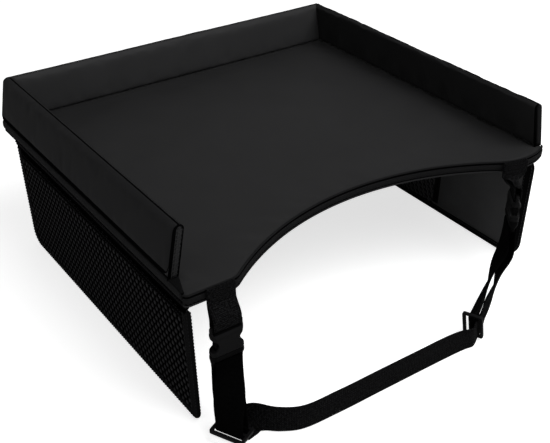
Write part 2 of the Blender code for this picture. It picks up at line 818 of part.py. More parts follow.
def settle(centres, widths, first, last):
    """Brings the stations down to the floor, fully from the last one on."""
    floor = -WING_DROP + 2 * GAP
    level = [Vector((point.x, point.y, 0)) for point in centres]
    for i in range(first, len(centres)):
        ride = floor + strip_reach(*strip_frame(level, widths, i))
        share = smooth_share((i - first) / (last - first))
        centres[i].z += (ride - centres[i].z) * share
    for _ in range(SETTLE_PASSES):
        lowest = [
            centre.z - strip_reach(*strip_frame(centres, widths, i))
            for i, centre in enumerate(centres)
        ]
        for centre, low in zip(centres, lowest):
            centre.z += max(floor - GAP - low, 0.0)


def make_strap(side):
    """Half of the waist strap, from its slider to the middle of the waist."""
    exit_place, way, across = strap_exit(side)
    down = Vector((0, 0, -1))
    start = exit_place + way * EXIT_LEAD
    turn = start + way * EXIT_RUN[side]
    keys = [start, turn]
    if side == "left":
        lead = across.cross(way)
        drop = turn.z + WING_DROP - WEB / 2 - 2 * GAP
        keys += [turn + way * (drop * fall) + lead * (drop * out) for fall, out in LEAD_SHARES]
    turns = [across] * len(keys)
    run = Vector((STRAP_MIDDLE, FRONT - STRAP_REACH, keys[-1].z)) - keys[-1]
    level = keys[-1]
    for along, aside, turned in STRAP_SHARES[side]:
        keys.append(level + Vector((run.x * along, run.y * aside, 0)))
        turns.append(across.lerp(down, turned))
    meet = GAP / 2 if side == "right" else -GAP / 2
    keys.append(level + run + Vector((meet, 0, 0)))
    turns.append(down)
    centres = [exit_place] + spline(keys, keys, STRAP_STEPS)
    widths = [across] + spline(keys, turns, STRAP_STEPS)
    first = (len(keys) - len(STRAP_SHARES[side]) - 2) * STRAP_STEPS + 1
    settle(centres, widths, first, first + SETTLE_STEPS[side])
    ribbon("waist_strap_" + side, centres, widths)


# Buckles


WEB_SLOT_HALF = WEB_WIDTH / 2 + WEB_SIDE


def buckle_body(name, top, height, shares, side, drop):
    """A moulding through rounded sections, each with its depth, width and thickness share."""
    bar, full = BAR_HALF, BUCKLE_THICK / 2
    rings = []
    for down, wide, thick in shares:
        half = bar + (full - bar) * thick
        section = rounded_rectangle(BUCKLE_HALF * wide, half, half * BUCKLE_ROUND_SHARE, BUCKLE_ROUND_STEPS)
        rings.append([Vector((x, y, top - height * down)) for x, y in section])
    body = loft(name, rings, MOULDING, smooth=True)
    body.location = chain_place(side) - Vector((0, 0, drop))
    body.rotation_euler = (0.0, 0.0, TAB_TWIST[side])
    return body


def web_slot(body, high, height):
    """The slot through a moulding that the webbing passes through."""
    size = (2 * WEB_SLOT_HALF, BUCKLE_THICK + OVERRUN, height)
    combine(body, cutter_box((0, 0, high - height / 2), size, body))


def make_receiver(side):
    """The receiver: a bar for the tab, a socket and a curved window at each side."""
    height = BAR_HALF + RECEIVER_LENGTH
    body = buckle_body("buckle_receiver_" + side, BAR_HALF, height, RECEIVER_SHARES, side, 0.0)
    web_slot(body, -BAR_HALF, RECEIVER_SLOT)
    mouth = -RECEIVER_LENGTH
    socket_z = mouth + (SOCKET_DEPTH - OVERRUN) / 2
    socket_size = (2 * SOCKET_HALF, SOCKET_THICK, SOCKET_DEPTH + OVERRUN)
    combine(body, cutter_box((0, 0, socket_z), socket_size, body))
    window_z = mouth + WINDOW_FROM_MOUTH + WINDOW_HEIGHT / 2
    window_size = (2 * WINDOW_DEPTH, WINDOW_HEIGHT, BUCKLE_THICK + OVERRUN)
    for sign in (-1, 1):
        bpy.ops.mesh.primitive_cylinder_add(vertices=WINDOW_SIDES, radius=0.5, depth=1)
        window = tool(bpy.context.active_object, window_size, body)
        window.location = (sign * BUCKLE_HALF, 0, window_z)
        window.rotation_euler = (math.pi / 2, 0, 0)
        combine(body, window)


def prong_outline(buried):
    """The plug's centre tongue and its two barbed prongs, from inside its base."""
    socket = SOCKET_HALF - GAP
    neck = socket - PRONG_NECK
    inner = neck - PRONG_WIDTH
    barb = PLUG_REACH - PRONG_BARB
    tongue = PLUG_REACH * TONGUE_REACH_SHARE
    right = [
        (socket, buried),
        (socket, WINDOW_FROM_MOUTH / 2),
        (neck, barb - PRONG_NECK / 2),
        (neck, barb),
        (socket, barb),
        (socket, barb + PRONG_NECK),
        (neck, PLUG_REACH),
        (inner, PLUG_REACH),
        (inner, barb),
        (neck - PRONG_NECK, WINDOW_FROM_MOUTH / 2),
        (TONGUE_HALF, 0.0),
        (TONGUE_HALF * TONGUE_TAPER_SHARE, tongue),
        (TONGUE_HALF * TONGUE_TIP_SHARE, tongue + TONGUE_HALF / 2),
    ]
    return right + [(-x, z) for x, z in reversed(right)]


def make_plug(side):
    """The plug: a base with a bar for the loop, and prongs that reach into the socket."""
    height = PLUG_BASE + PLUG_SLOT + 2 * BAR_HALF
    body = buckle_body("buckle_plug_" + side, -GAP, height, PLUG_SHARES, side, RECEIVER_LENGTH)
    upright = lambda u, v, w: Vector((u, w, v))
    outline = prong_outline(-GAP - OVERRUN)
    prongs = plate("prongs_" + side, outline, [], -PLUG_THICK / 2, PLUG_THICK / 2, MOULDING, upright)
    combine(body, tool(prongs, (1, 1, 1), body), "UNION", "MANIFOLD")
    web_slot(body, -GAP - PLUG_BASE, PLUG_SLOT)


def make_slider(side):
    centre, way, across, normal = loop_stations(side)[0]
    outline = rounded_rectangle(SLIDER_WIDTH / 2, SLIDER_HEIGHT / 2, SLIDER_CORNER, CORNER_STEPS)
    far = BAR_HALF + SLIDER_SLOT
    slots = [
        rectangle(-WEB_SLOT_HALF, WEB_SLOT_HALF, BAR_HALF, far),
        rectangle(-WEB_SLOT_HALF, WEB_SLOT_HALF, -far, -BAR_HALF),
    ]
    body = plate("triglide_" + side, outline, slots, -SLIDER_THICK / 2, SLIDER_THICK / 2, MOULDING)
    body.location = centre
    body.rotation_euler = Matrix((across, normal, way)).transposed().to_euler()
    bevel(body, SLIDER_EDGE)


make_board()
make_walls()
for each in ("left", "right"):
    make_hinge_tape(each)
    make_wing(each)
    make_tab(each)
    make_receiver(each)
    make_plug(each)
    make_slider(each)
    make_loop(each)
    make_strap(each)
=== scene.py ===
import json
import math

import bpy
import numpy as np
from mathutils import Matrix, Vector
from mathutils.geometry import delaunay_2d_cdt


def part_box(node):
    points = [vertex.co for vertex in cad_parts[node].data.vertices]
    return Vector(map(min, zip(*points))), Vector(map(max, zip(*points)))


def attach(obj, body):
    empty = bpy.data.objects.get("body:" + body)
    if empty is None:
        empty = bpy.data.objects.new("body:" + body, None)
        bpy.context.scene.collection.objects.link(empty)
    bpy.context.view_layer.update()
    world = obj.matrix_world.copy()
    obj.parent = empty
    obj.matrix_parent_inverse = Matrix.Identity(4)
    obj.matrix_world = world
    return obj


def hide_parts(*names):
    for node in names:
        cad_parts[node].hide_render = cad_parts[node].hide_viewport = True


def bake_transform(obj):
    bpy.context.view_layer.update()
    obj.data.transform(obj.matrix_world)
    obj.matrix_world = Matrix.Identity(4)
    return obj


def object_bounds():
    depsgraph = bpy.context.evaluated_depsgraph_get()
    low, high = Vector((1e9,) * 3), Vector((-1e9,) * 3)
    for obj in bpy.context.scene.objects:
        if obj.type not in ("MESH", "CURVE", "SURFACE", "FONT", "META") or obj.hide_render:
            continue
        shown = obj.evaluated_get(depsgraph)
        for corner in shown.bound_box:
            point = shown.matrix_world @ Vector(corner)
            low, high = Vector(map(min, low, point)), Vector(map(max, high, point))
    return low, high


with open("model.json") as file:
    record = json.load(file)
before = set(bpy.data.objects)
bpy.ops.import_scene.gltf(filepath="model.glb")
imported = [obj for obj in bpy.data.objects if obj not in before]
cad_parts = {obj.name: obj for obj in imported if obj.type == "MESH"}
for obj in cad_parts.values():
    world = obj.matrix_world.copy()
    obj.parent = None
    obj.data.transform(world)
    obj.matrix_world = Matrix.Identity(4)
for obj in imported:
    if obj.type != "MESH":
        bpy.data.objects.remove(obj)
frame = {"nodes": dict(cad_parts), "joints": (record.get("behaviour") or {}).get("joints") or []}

cad_low, cad_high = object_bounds()
SIDES = ("left", "right")
SIGN = {"left": -1, "right": 1}

# Sizes that follow the frame, in metres
RIM_LOW, RIM_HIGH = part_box("rim_band")
HALF_WIDTH = RIM_HIGH.x
BACK = RIM_HIGH.y
FRONT = -BACK
BOARD_LOW = RIM_LOW.z
FLOOR_Z = cad_low.z
WALL_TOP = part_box("wall_cover_back")[1].z
HINGE = {j["child"][:-5]: Vector(j["pos_m"]) for j in frame["joints"] if j["type"] == "hinge"}

# The board's outline, as the frame has it: an arc between two rounded ears
BOARD_CORNER = 0.0040
CUT_OFFSET = 0.0039
CUT_DEPTH = 0.0545
CUT_RADIUS = 2 * HALF_WIDTH * 0.6393
CUT_Y = FRONT + CUT_DEPTH - CUT_RADIUS
EAR_RADIUS = {"left": 2 * HALF_WIDTH * 0.045, "right": 2 * HALF_WIDTH * 0.150}
EAR_SETBACK = {"left": 0.0, "right": 0.0067}
LEAST_CORNER = 0.0003

# Walls
WALL_THICK = 0.0095
SIDE_LEAN = 0.0080
BACK_LEAN = 0.0010
WALL_FOOT = 0.0004
WALL_START = {side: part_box("wall_end_gusset_" + side)[0].y for side in SIDES}

# Wings
WING_LEAN = math.radians(2.1)
WING_HALF = 0.0021
WING_PANEL = 0.0020
BINDING_WIDTH = 0.0095
LOW_BINDING = 0.0068
BINDING_THICK = 0.0006
BINDING_START = 0.002
BINDING_NARROWS = 0.016
BINDING_STITCH = 0.0013
WING_TOP_RADIUS = {"left": 0.0030, "right": 0.0100}
WING_FRONT_RADIUS = {"left": 0.0080, "right": 0.0200}
WING_BACK_RADIUS = 0.0150
WING_TOP = 0.0024
HEM = (0.0060, 0.0125)
SEAM_PLACE = 0.1170
SEAM_WIDTH = 0.0080

# Webbing and its route, as the frame has it
WEB_WIDTH = 0.0250
WEB = 0.0014
CLEAR = 0.0003
BAR_HALF = 0.0015
WRAP = BAR_HALF * 1.5 + CLEAR + WEB / 2
STACK = (WEB + CLEAR) / 2

# Net: its two steps from bump to bump, along and down, and the shares of its three waves
NET_ALONG = (0.0070, 0.0006)
NET_DOWN = (-0.0021, 0.0053)
NET_SHARES = (1.3, 0.8, 0.8)

# Thread. A stitch's shares are how far along it is, its width and its height.
THREAD = 0.00045
STITCH = 0.0023
STITCH_GAP = 0.0010
STITCH_START = 0.15
STITCH_SIDES = 6
STITCH_SHARES = ((0.0, 0.30, -0.9), (0.22, 1.0, 0.1), (0.78, 1.0, 0.1), (1.0, 0.30, -0.9))

UP = Vector((0, 0, 1))


# Shaders


class Nodes:
    """The node tree of a material or a world, with short calls that add nodes to it."""

    def __init__(self, owner, surface):
        owner.use_nodes = True
        self.tree = owner.node_tree
        self.surface = self.tree.nodes[surface]

    def put(self, socket, value):
        if isinstance(value, bpy.types.NodeSocket):
            self.tree.links.new(value, self.surface.inputs[socket])
        else:
            self.surface.inputs[socket].default_value = value

    def node(self, kind, inputs=(), **settings):
        made = self.tree.nodes.new(kind)
        for key, value in settings.items():
            setattr(made, key, value)
        for key, value in dict(inputs).items():
            if isinstance(value, bpy.types.NodeSocket):
                self.tree.links.new(value, made.inputs[key])
            else:
                made.inputs[key].default_value = value
        return made

    def math(self, operation, a, b=0.0):
        return self.node("ShaderNodeMath", {0: a, 1: b}, operation=operation).outputs[0]

    def product(self, a, b):
        return self.math("MULTIPLY", a, b)

    def sine(self, value, length):
        """A sine of the value that changes sign at each length."""
        return self.math("SINE", self.product(value, math.pi / length))

    def ribs(self, value, width):
        return self.math("ABSOLUTE", self.sine(value, width))

    def split(self, vector):
        return self.node("ShaderNodeSeparateXYZ", {0: vector}).outputs[:2]

    def place(self, uv=True):
        if uv:
            return self.node("ShaderNodeUVMap", uv_map="weave").outputs["UV"]
        return self.node("ShaderNodeTexCoord").outputs["Object"]

    def noise(self, vector, scale, detail=3.0):
        made = self.node("ShaderNodeTexNoise", {"Vector": vector, "Scale": scale, "Detail": detail})
        return made.outputs["Fac"]

    def spread(self, value, low, high, start=0.0, end=1.0):
        """The value, from start to end, mapped from low to high."""
        made = self.node("ShaderNodeMapRange", {
            "Value": value, "From Min": start, "From Max": end, "To Min": low, "To Max": high,
        })
        return made.outputs["Result"]

    def bump(self, height, distance, strength=1.0):
        made = self.node("ShaderNodeBump", {"Height": height, "Distance": distance, "Strength": strength})
        self.put("Normal", made.outputs["Normal"])


class Shader(Nodes):
    """A material, in a shade of grey that its blue goes past by a share."""

    def __init__(self, name, shade, blue, roughness, specular):
        self.material = bpy.data.materials.new(name)
        super().__init__(self.material, "Principled BSDF")
        self.colour = (shade, shade, shade * (1 + blue))
        self.put("Base Color", (*self.colour, 1.0))
        self.put("Roughness", roughness)
        self.put("Specular IOR Level", specular)

    def tint(self, factor):
        """The colour times a factor, on the base colour."""
        scaled = self.node("ShaderNodeVectorMath", {0: self.colour, "Scale": factor}, operation="SCALE")
        self.put("Base Color", scaled.outputs["Vector"])


def plain_weave(shader, vector, pitch):
    """Threads that go over and under each other. The pitch is one thread's."""
    u, v = shader.split(vector)
    across, along = shader.sine(u, pitch), shader.sine(v, pitch)
    over = shader.math("GREATER_THAN", shader.product(across, along), 0.0)
    warp = shader.product(shader.math("ABSOLUTE", across), over)
    weft = shader.product(shader.math("ABSOLUTE", along), shader.math("SUBTRACT", 1.0, over))
    return shader.math("ADD", warp, weft)


def twill_weave(shader, vector, pitch):
    """Fine twill ribs that turn back at every width, each broken up by its weft."""
    u, v = shader.split(vector)
    slant = shader.math("ADD", u, shader.math("PINGPONG", v, TWILL_WIDTH))
    weft = shader.math("POWER", shader.ribs(u, pitch), TWILL_POWER)
    return shader.product(shader.ribs(slant, pitch), weft)


# Weaves. A noise's scale is per metre of cloth, or per cell on the net, and depths are in metres.
TWILL_WIDTH = 0.0062
TWILL_POWER = 0.4
TWILL_DEPTH = 0.00025
SPECKLE_SCALE = 560.0
# Painted shade in the net's valleys: the yarn colour's share, from 0.01 to 1, over the relief from -0.45 to 2
NET_VALLEY_SHADE = (0.01, 1.0, -0.45, 2.00)
NET_LOOPS = 12
PLY_WIDTH = 0.0004
FINE_DEPTH = 0.00008


def coated_fabric(name, shade, blue, specular):
    """Smooth matte coated cloth with a very fine grain."""
    shader = Shader(name, shade, blue, 0.5, specular)
    place = shader.place()
    shader.put("Roughness", shader.spread(shader.noise(place, 9.0), 0.50, 0.64))
    shader.tint(shader.spread(shader.noise(place, 23.0), 0.88, 1.12))
    shader.bump(shader.noise(place, 900.0, 2.0), 0.00006, 0.7)
    return shader.material


def woven_fabric(name, shade, blue, pitch, depth, specular):
    shader = Shader(name, shade, blue, 0.78, specular)
    place = shader.place()
    weave = plain_weave(shader, place, pitch)
    patch = shader.spread(shader.noise(place, 35.0), 0.82, 1.18)
    shader.tint(shader.product(shader.spread(weave, 0.55, 1.15), patch))
    shader.put("Roughness", shader.spread(weave, 0.90, 0.68))
    shader.bump(weave, depth)
    return shader.material


def webbing_fabric(name, shade, pitch, specular, grain):
    """Twill webbing with a speckle of lighter yarns. The grain goes from 0, even, to 1."""
    shader = Shader(name, shade, 0.05, 0.65, specular)
    place = shader.place()
    weave = twill_weave(shader, place, pitch)
    low, high = 1 - grain, 1 + grain
    speckle = shader.spread(shader.noise(place, SPECKLE_SCALE, 1.0), low, high, 0.35, 0.65)
    shader.tint(shader.product(shader.spread(weave, low, high), speckle))
    shader.put("Roughness", shader.spread(weave, 0.85, 0.60))
    shader.bump(weave, TWILL_DEPTH)
    return shader.material


def net_height(shader, vector):
    """The net's relief at a place in its own cells, from its valleys up."""
    p, q = shader.split(vector)
    waves = []
    for value, share in zip((p, q, shader.math("SUBTRACT", p, q)), NET_SHARES):
        waves.append(shader.product(shader.math("COSINE", shader.product(value, 2 * math.pi)), share))
    return shader.math("ADD", shader.math("ADD", waves[0], waves[1]), waves[2])


def net_yarn(name, shade):
    """Knitted yarn with painted shade in the net's valleys, darker the lower the relief, with its loops as a
    fine ripple.
    """
    shader = Shader(name, shade, 0.04, 0.75, 0.010)
    place = shader.place()
    # Painted shade: the yarn is darkened by the height of the net's relief
    depth = shader.spread(net_height(shader, place), *NET_VALLEY_SHADE)
    yarn = plain_weave(shader, place, 1 / NET_LOOPS)
    shader.tint(shader.product(depth, shader.spread(yarn, 0.75, 1.15)))
    shader.put("Roughness", shader.spread(shader.noise(place, 3.0), 0.65, 0.80))
    shader.bump(yarn, FINE_DEPTH)
    return shader.material


def moulded_plastic(name, shade, specular):
    """Satin acetal with the fine texture of its mould."""
    shader = Shader(name, shade, 0.06, 0.42, specular)
    place = shader.place(uv=False)
    shader.put("Roughness", shader.spread(shader.noise(place, 180.0), 0.36, 0.50))
    shader.tint(shader.spread(shader.noise(place, 70.0), 0.85, 1.15))
    shader.bump(shader.noise(place, 2500.0, 2.0), 0.00003, 0.6)
    return shader.material


def thread_yarn(name, shade):
    shader = Shader(name, shade, 0.04, 0.60, 0.03)
    ply = shader.ribs(shader.math("ADD", *shader.split(shader.place())), PLY_WIDTH)
    shader.tint(shader.spread(ply, 0.6, 1.2))
    shader.bump(ply, FINE_DEPTH)
    return shader.material


def hidden_board():
    shader = Shader("hidden_board", 0.0400, 0.05, 0.55, 0.30)
    place = shader.place(uv=False)
    shader.tint(shader.spread(shader.noise(place, 40.0), 0.85, 1.15))
    shader.bump(shader.noise(place, 600.0), FINE_DEPTH)
    return shader.material


COATED = coated_fabric("coated_cloth", 0.0115, 0.035, 0.02)
# A paler copy of the coated cloth, as painted light on the back wall's inner face
LIT = coated_fabric("coated_cloth_painted_light", 0.0330, 0.024, 0.03)
PLAY = coated_fabric("coated_cloth_top", 0.0185, 0.022, 0.02)
# A copy of the coated cloth in another shade, as painted shade on the side walls' inner faces
SHADED = coated_fabric("coated_cloth_painted_shade", 0.0155, 0.019, 0.008)
# Near-black cloth that is painted shade: in grooves, undercuts and seams, under the rim's bead and over the
# wings' tops
SHADE_BLACK = coated_fabric("coated_cloth_painted_black_shade", 0.0014, 0.071, 0.0)
# Black that is painted shade, seen through the net's slits
NET_SLIT_SHADE = coated_fabric("net_backing_painted_shade", 0.0004, 0.0, 0.0)
OXFORD = woven_fabric("oxford_cloth", 0.0110, 0.036, 0.00085, 0.00022, 0.02)
# A paler oxford with a coarser grain, pale as painted light on the left gusset strip, the lip's bead and the
# walls' corner bands
LIT_GUSSET = woven_fabric("gusset_cloth", 0.0250, 0.024, 0.00180, 0.00032, 0.03)
BINDING = woven_fabric("binding_cloth", 0.0045, 0.044, 0.00060, 0.00014, 0.012)
# Lining made paler than the cloth is, as painted light on the shaded inner faces of the wings and under the
# board
LIT_LINING = woven_fabric("lining_cloth_painted_light", 0.0700, 0.014, 0.00050, 0.00010, 0.03)
WEBBING = webbing_fabric("woven_webbing", 0.0050, 0.0020, 0.010, 0.66)
SMOOTH_WEBBING = webbing_fabric("smooth_webbing", 0.0012, 0.0009, 0.004, 0.30)
YARN = net_yarn("net_yarn", 0.0220)
# A paler copy of the net yarn, as painted light on the wings' shaded inner nets
LIT_INNER_YARN = net_yarn("net_yarn_inner_painted_light", 0.0500)
PLASTIC = moulded_plastic("moulded_acetal", 0.0038, 0.04)
PLUG_PLASTIC = moulded_plastic("moulded_acetal_plug", 0.0014, 0.02)
TWINE = thread_yarn("sewing_thread", 0.0120)
# Dark thread; on the rim's lower part it is also painted shade
DARK_AND_SHADE_TWINE = thread_yarn("dark_thread_and_painted_shade", 0.0050)
PALE_TWINE = thread_yarn("pale_thread", 0.0450)
INNER = hidden_board()


# Meshes


def add_piece(name, points, faces, corners, surface, body, slot, replaced=(), levels=0):
    """A shaded piece on a body. Corners gives each face's places in the weave, in metres."""
    mesh = bpy.data.meshes.new(name)
    mesh.from_pydata([tuple(p) for p in points], [], faces)
    weave = mesh.uv_layers.new(name="weave")
    flat = [value for face in corners for place in face for value in place]
    weave.data.foreach_set("uv", flat)
    mesh.materials.append(surface)
    mesh.validate()
    mesh.shade_smooth()
    piece = bpy.data.objects.new(name, mesh)
    bpy.context.scene.collection.objects.link(piece)
    if levels:
        step = piece.modifiers.new("smooth", "SUBSURF")
        step.levels = step.render_levels = levels
    if body:
        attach(piece, body)
    if replaced:
        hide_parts(*replaced)
    return piece


def lengths(points):
    out = [0.0]
    for a, b in zip(points, points[1:]):
        out.append(out[-1] + (b - a).length)
    return out


def tube(rings, along=None, around=None):
    """The points, faces and weave places of a run of closed rings, with a cap at each end."""
    count = len(rings[0])
    along = along or lengths([sum(ring, Vector()) / count for ring in rings])
    around = around or lengths([*rings[0], rings[0][0]])
    points = [p for ring in rings for p in ring]
    faces, corners = [], []
    for i in range(len(rings) - 1):
        first, near, far = i * count, along[i], along[i + 1]
        for j in range(count):
            k = (j + 1) % count
            faces.append((first + j, first + k, first + count + k, first + count + j))
            a, b = around[j], around[j + 1]
            corners.append(((near, a), (near, b), (far, b), (far, a)))
    for first, step in ((0, -1), (len(points) - count, 1)):
        order = range(count)[::step]
        faces.append(tuple(first + j for j in order))
        corners.append(tuple((0.0, around[j]) for j in order))
    return points, faces, corners


def sweep(name, stations, profile, surface, body, slot, replaced, levels=0):
    """A profile carried along stations of (centre, side way, up way)."""
    rings = [[c + side * a + up * b for a, b in profile] for c, side, up in stations]
    return add_piece(name, *tube(rings), surface, body, slot, replaced, levels)


def arc(centre, radius, start, end, steps):
    turns = [start + (end - start) * i / steps for i in range(steps + 1)]
    return [(centre[0] + radius * math.cos(a), centre[1] + radius * math.sin(a)) for a in turns]


def circle(radius, count):
    return arc((0.0, 0.0), radius, 0.0, 2 * math.pi, count)[:-1]


def filled(edge, inner):
    """The flat mesh inside an edge: its places, its faces, and the edge's own points in order."""
    count = len(edge)
    loop = [(i, (i + 1) % count) for i in range(count)]
    made = delaunay_2d_cdt([Vector(p) for p in edge + inner], loop, [], 1, 1e-6)
    rim = sorted((min(ids), i) for i, ids in enumerate(made[3]) if ids and min(ids) < count)
    return [(v.x, v.y) for v in made[0]], [tuple(f) for f in made[2]], [i for _, i in rim]


def frames(points, up):
    """Stations along points: side is to the right of the way, up is given."""
    out = []
    last = len(points) - 1
    for i, p in enumerate(points):
        way = (points[min(i + 1, last)] - points[max(i - 1, 0)]).normalized()
        out.append((p, way.cross(up).normalized(), up))
    return out


def stitches(name, rows, body, slot, surface=TWINE):
    """Rows of stitches. Each row is its points, and the way or ways that face away from the cloth."""
    points, faces, corners = [], [], []
    for row, away in rows:
        if isinstance(away, Vector):
            away = [away] * len(row)
        run = lengths(row)
        count = int(run[-1] / (STITCH + STITCH_GAP))
        for i in range(count):
            start = run[-1] * (i + STITCH_START) / count
            rings = []
            for share, wide, high in STITCH_SHARES:
                want = start + STITCH * share
                at = min(max(int(np.searchsorted(run, want)) - 1, 0), len(row) - 2)
                part = (want - run[at]) / max(run[at + 1] - run[at], 1e-9)
                way = (row[at + 1] - row[at]).normalized()
                out = away[at].lerp(away[at + 1], part).normalized()
                side = way.cross(out)
                centre = row[at].lerp(row[at + 1], part) + out * (THREAD / 2 * high)
                ring = circle(THREAD / 2 * wide, STITCH_SIDES)
                rings.append([centre + side * x + out * z for x, z in ring])
            first = len(points)
            more, made, places = tube(rings)
            points += more
            faces += [tuple(first + v for v in face) for face in made]
            corners += places
    add_piece(name, points, faces, corners, surface, body, slot)


# The cloth step: its frames, its solver and its cloth, and for each kind of cover its pressure,
# its growth and the furthest that a point may move
PUFF_FRAMES = 10
CLOTH_QUALITY = 5
CLOTH_STIFFNESS = 20
CLOTH_BENDING = 0.6
PAD_PUFF = (1.2, 0.004, 0.0010)
WALL_PUFF = {"left": (3.0, 0.006, 0.0009), "back": (3.0, 0.006, 0.0009), "right": (3.0, 0.012, 0.0009)}


def puff(piece, pinned, pressure, grow, cap):
    """Inflates a closed cloth between its seams, and caps how far a point may move."""
    rest = np.array([v.co for v in piece.data.vertices])
    group = piece.vertex_groups.new(name="seams")
    group.add([i for i, held in enumerate(pinned) if held], 1.0, "REPLACE")
    hidden = list(piece.modifiers)
    for step in hidden:
        step.show_viewport = False
    cloth = piece.modifiers.new("cloth", "CLOTH")
    settings = cloth.settings
    settings.quality = CLOTH_QUALITY
    settings.use_pressure = True
    settings.uniform_pressure_force = pressure
    settings.vertex_group_mass = group.name
    settings.shrink_min = -grow
    settings.tension_stiffness = settings.compression_stiffness = CLOTH_STIFFNESS
    settings.bending_stiffness = CLOTH_BENDING
    settings.effector_weights.gravity = 0
    scene = bpy.context.scene
    for frame_number in range(1, PUFF_FRAMES + 1):
        scene.frame_set(frame_number)
    evaluated = piece.evaluated_get(bpy.context.evaluated_depsgraph_get())
    moved = np.array([v.co for v in evaluated.data.vertices])
    piece.modifiers.remove(cloth)
    scene.frame_set(1)
    for step in hidden:
        step.show_viewport = True
    piece.vertex_groups.remove(group)
    shift = moved - rest
    far = np.maximum(np.linalg.norm(shift, axis=1), 1e-9)
    shift *= (cap * np.tanh(far / cap) / far)[:, None]
    piece.data.vertices.foreach_set("co", (rest + shift).ravel())
    piece.data.update()


# The board


def ear(side):
    """The centre of an ear's arc, which touches the cut-out's arc, and its radius."""
    radius = EAR_RADIUS[side]
    y = FRONT + EAR_SETBACK[side] + radius
    aside = math.sqrt((CUT_RADIUS + radius) ** 2 - (y - CUT_Y) ** 2)
    return (CUT_OFFSET + SIGN[side] * aside, y), radius


def ear_front(x):
    """How far forward the right ear's arc reaches at x, and the way that it runs there."""
    centre, radius = ear("right")
    aside = x - centre[0]
    depth = math.sqrt(radius ** 2 - aside ** 2)
    return centre[1] - depth, Vector((depth, aside, 0)) / radius


def right_corner(inset):
    """The centre of the right front corner, and its radius."""
    centre, radius = ear("right")
    corner = max(BOARD_CORNER - inset, LEAST_CORNER)
    x = HALF_WIDTH - inset - corner
    reach = radius - inset - corner
    return (x, centre[1] - math.sqrt(reach ** 2 - (x - centre[0]) ** 2)), corner


def front_line(inset, fine=1):
    """The board's front edge from its left side to its right side, moved in by inset."""
    half = HALF_WIDTH - inset
    corner = max(BOARD_CORNER - inset, LEAST_CORNER)
    front = FRONT + inset
    down, up = -math.pi / 2, math.pi / 2
    (left_x, left_y), left_radius = ear("left")
    (right_x, right_y), right_radius = ear("right")
    end, end_radius = right_corner(inset)
    left_turn = math.atan2(CUT_OFFSET - left_x, left_y - CUT_Y)
    right_turn = math.atan2(right_x - CUT_OFFSET, right_y - CUT_Y)
    past = math.atan2(end[0] - right_x, right_y - end[1])
    line = arc((-half + corner, front + corner), corner, math.pi, 1.5 * math.pi, 5)
    line += straight(line[-1], (left_x, front), 6 * fine)
    line += arc((left_x, left_y), left_radius - inset, down, down + left_turn, 7 * fine)
    line += arc((CUT_OFFSET, CUT_Y), CUT_RADIUS + inset, up + left_turn, up - right_turn, 50 * fine)[1:-1]
    line += arc((right_x, right_y), right_radius - inset, down - right_turn, down + past, 22 * fine)
    return line + arc(end, end_radius, down + past, 0.0, 5)[1:]


def straight(start, end, steps):
    """The points between start and end, without both."""
    return [
        (start[0] + (end[0] - start[0]) * i / steps, start[1] + (end[1] - start[1]) * i / steps)
        for i in range(1, steps)
    ]


def rear_line(inset):
    """The right side, the back and the left side, without the front corners."""
    half = HALF_WIDTH - inset
    corner = max(BOARD_CORNER - inset, LEAST_CORNER)
    back = BACK - inset
    begin = right_corner(0.0)[0][1]
    start = FRONT + BOARD_CORNER
    right = [(half, begin)] + straight((half, begin), (half, back - corner), 50)
    turn = arc((half - corner, back - corner), corner, 0.0, math.pi / 2, 5)
    rear = straight(turn[-1], (-half + corner, back), 56)
    other = arc((-half + corner, back - corner), corner, math.pi / 2, math.pi, 5)
    return right + turn + rear + other + straight(other[-1], (-half, start), 50) + [(-half, start)]


def outline(inset):
    return front_line(inset) + rear_line(inset)[1:-1]


def nearest(points, line):
    """Each point's distance to the nearest of a line's points."""
    a = np.array(points)[:, None, :]
    b = np.array(line)[None, :, :]
    return np.sqrt(((a - b) ** 2).sum(2)).min(1)


PAD_INSET = 0.0012
PAD_ROLL = 0.0034
PAD_DROP = 0.0016
PAD_LOW = -0.0060
PAD_CELL = 0.0070
PAD_EDGE_STEPS = (0.0005, 0.0011, 0.0020, 0.0034)
PAD_FOOT_STEPS = (0.0, 0.0012, 0.0026, 0.0045)
PAD_CLEAR = 0.0060
PAD_SEWN = 0.0030
PAD_EDGE_SEWN = 0.0012
FOOT_REACH = 0.0055
FOOT_DIP = 0.0011


def pad_height(from_front, from_wall):
    """The play surface rolls down at its front edge and dips at the walls' feet."""
    roll = np.clip(1 - (from_front - PAD_INSET) / PAD_ROLL, 0, 1)
    foot = np.clip(1 - from_wall / FOOT_REACH, 0, 1)
    return -PAD_DROP * (1 - np.sqrt(1 - roll ** 2)) - FOOT_DIP * foot ** 2


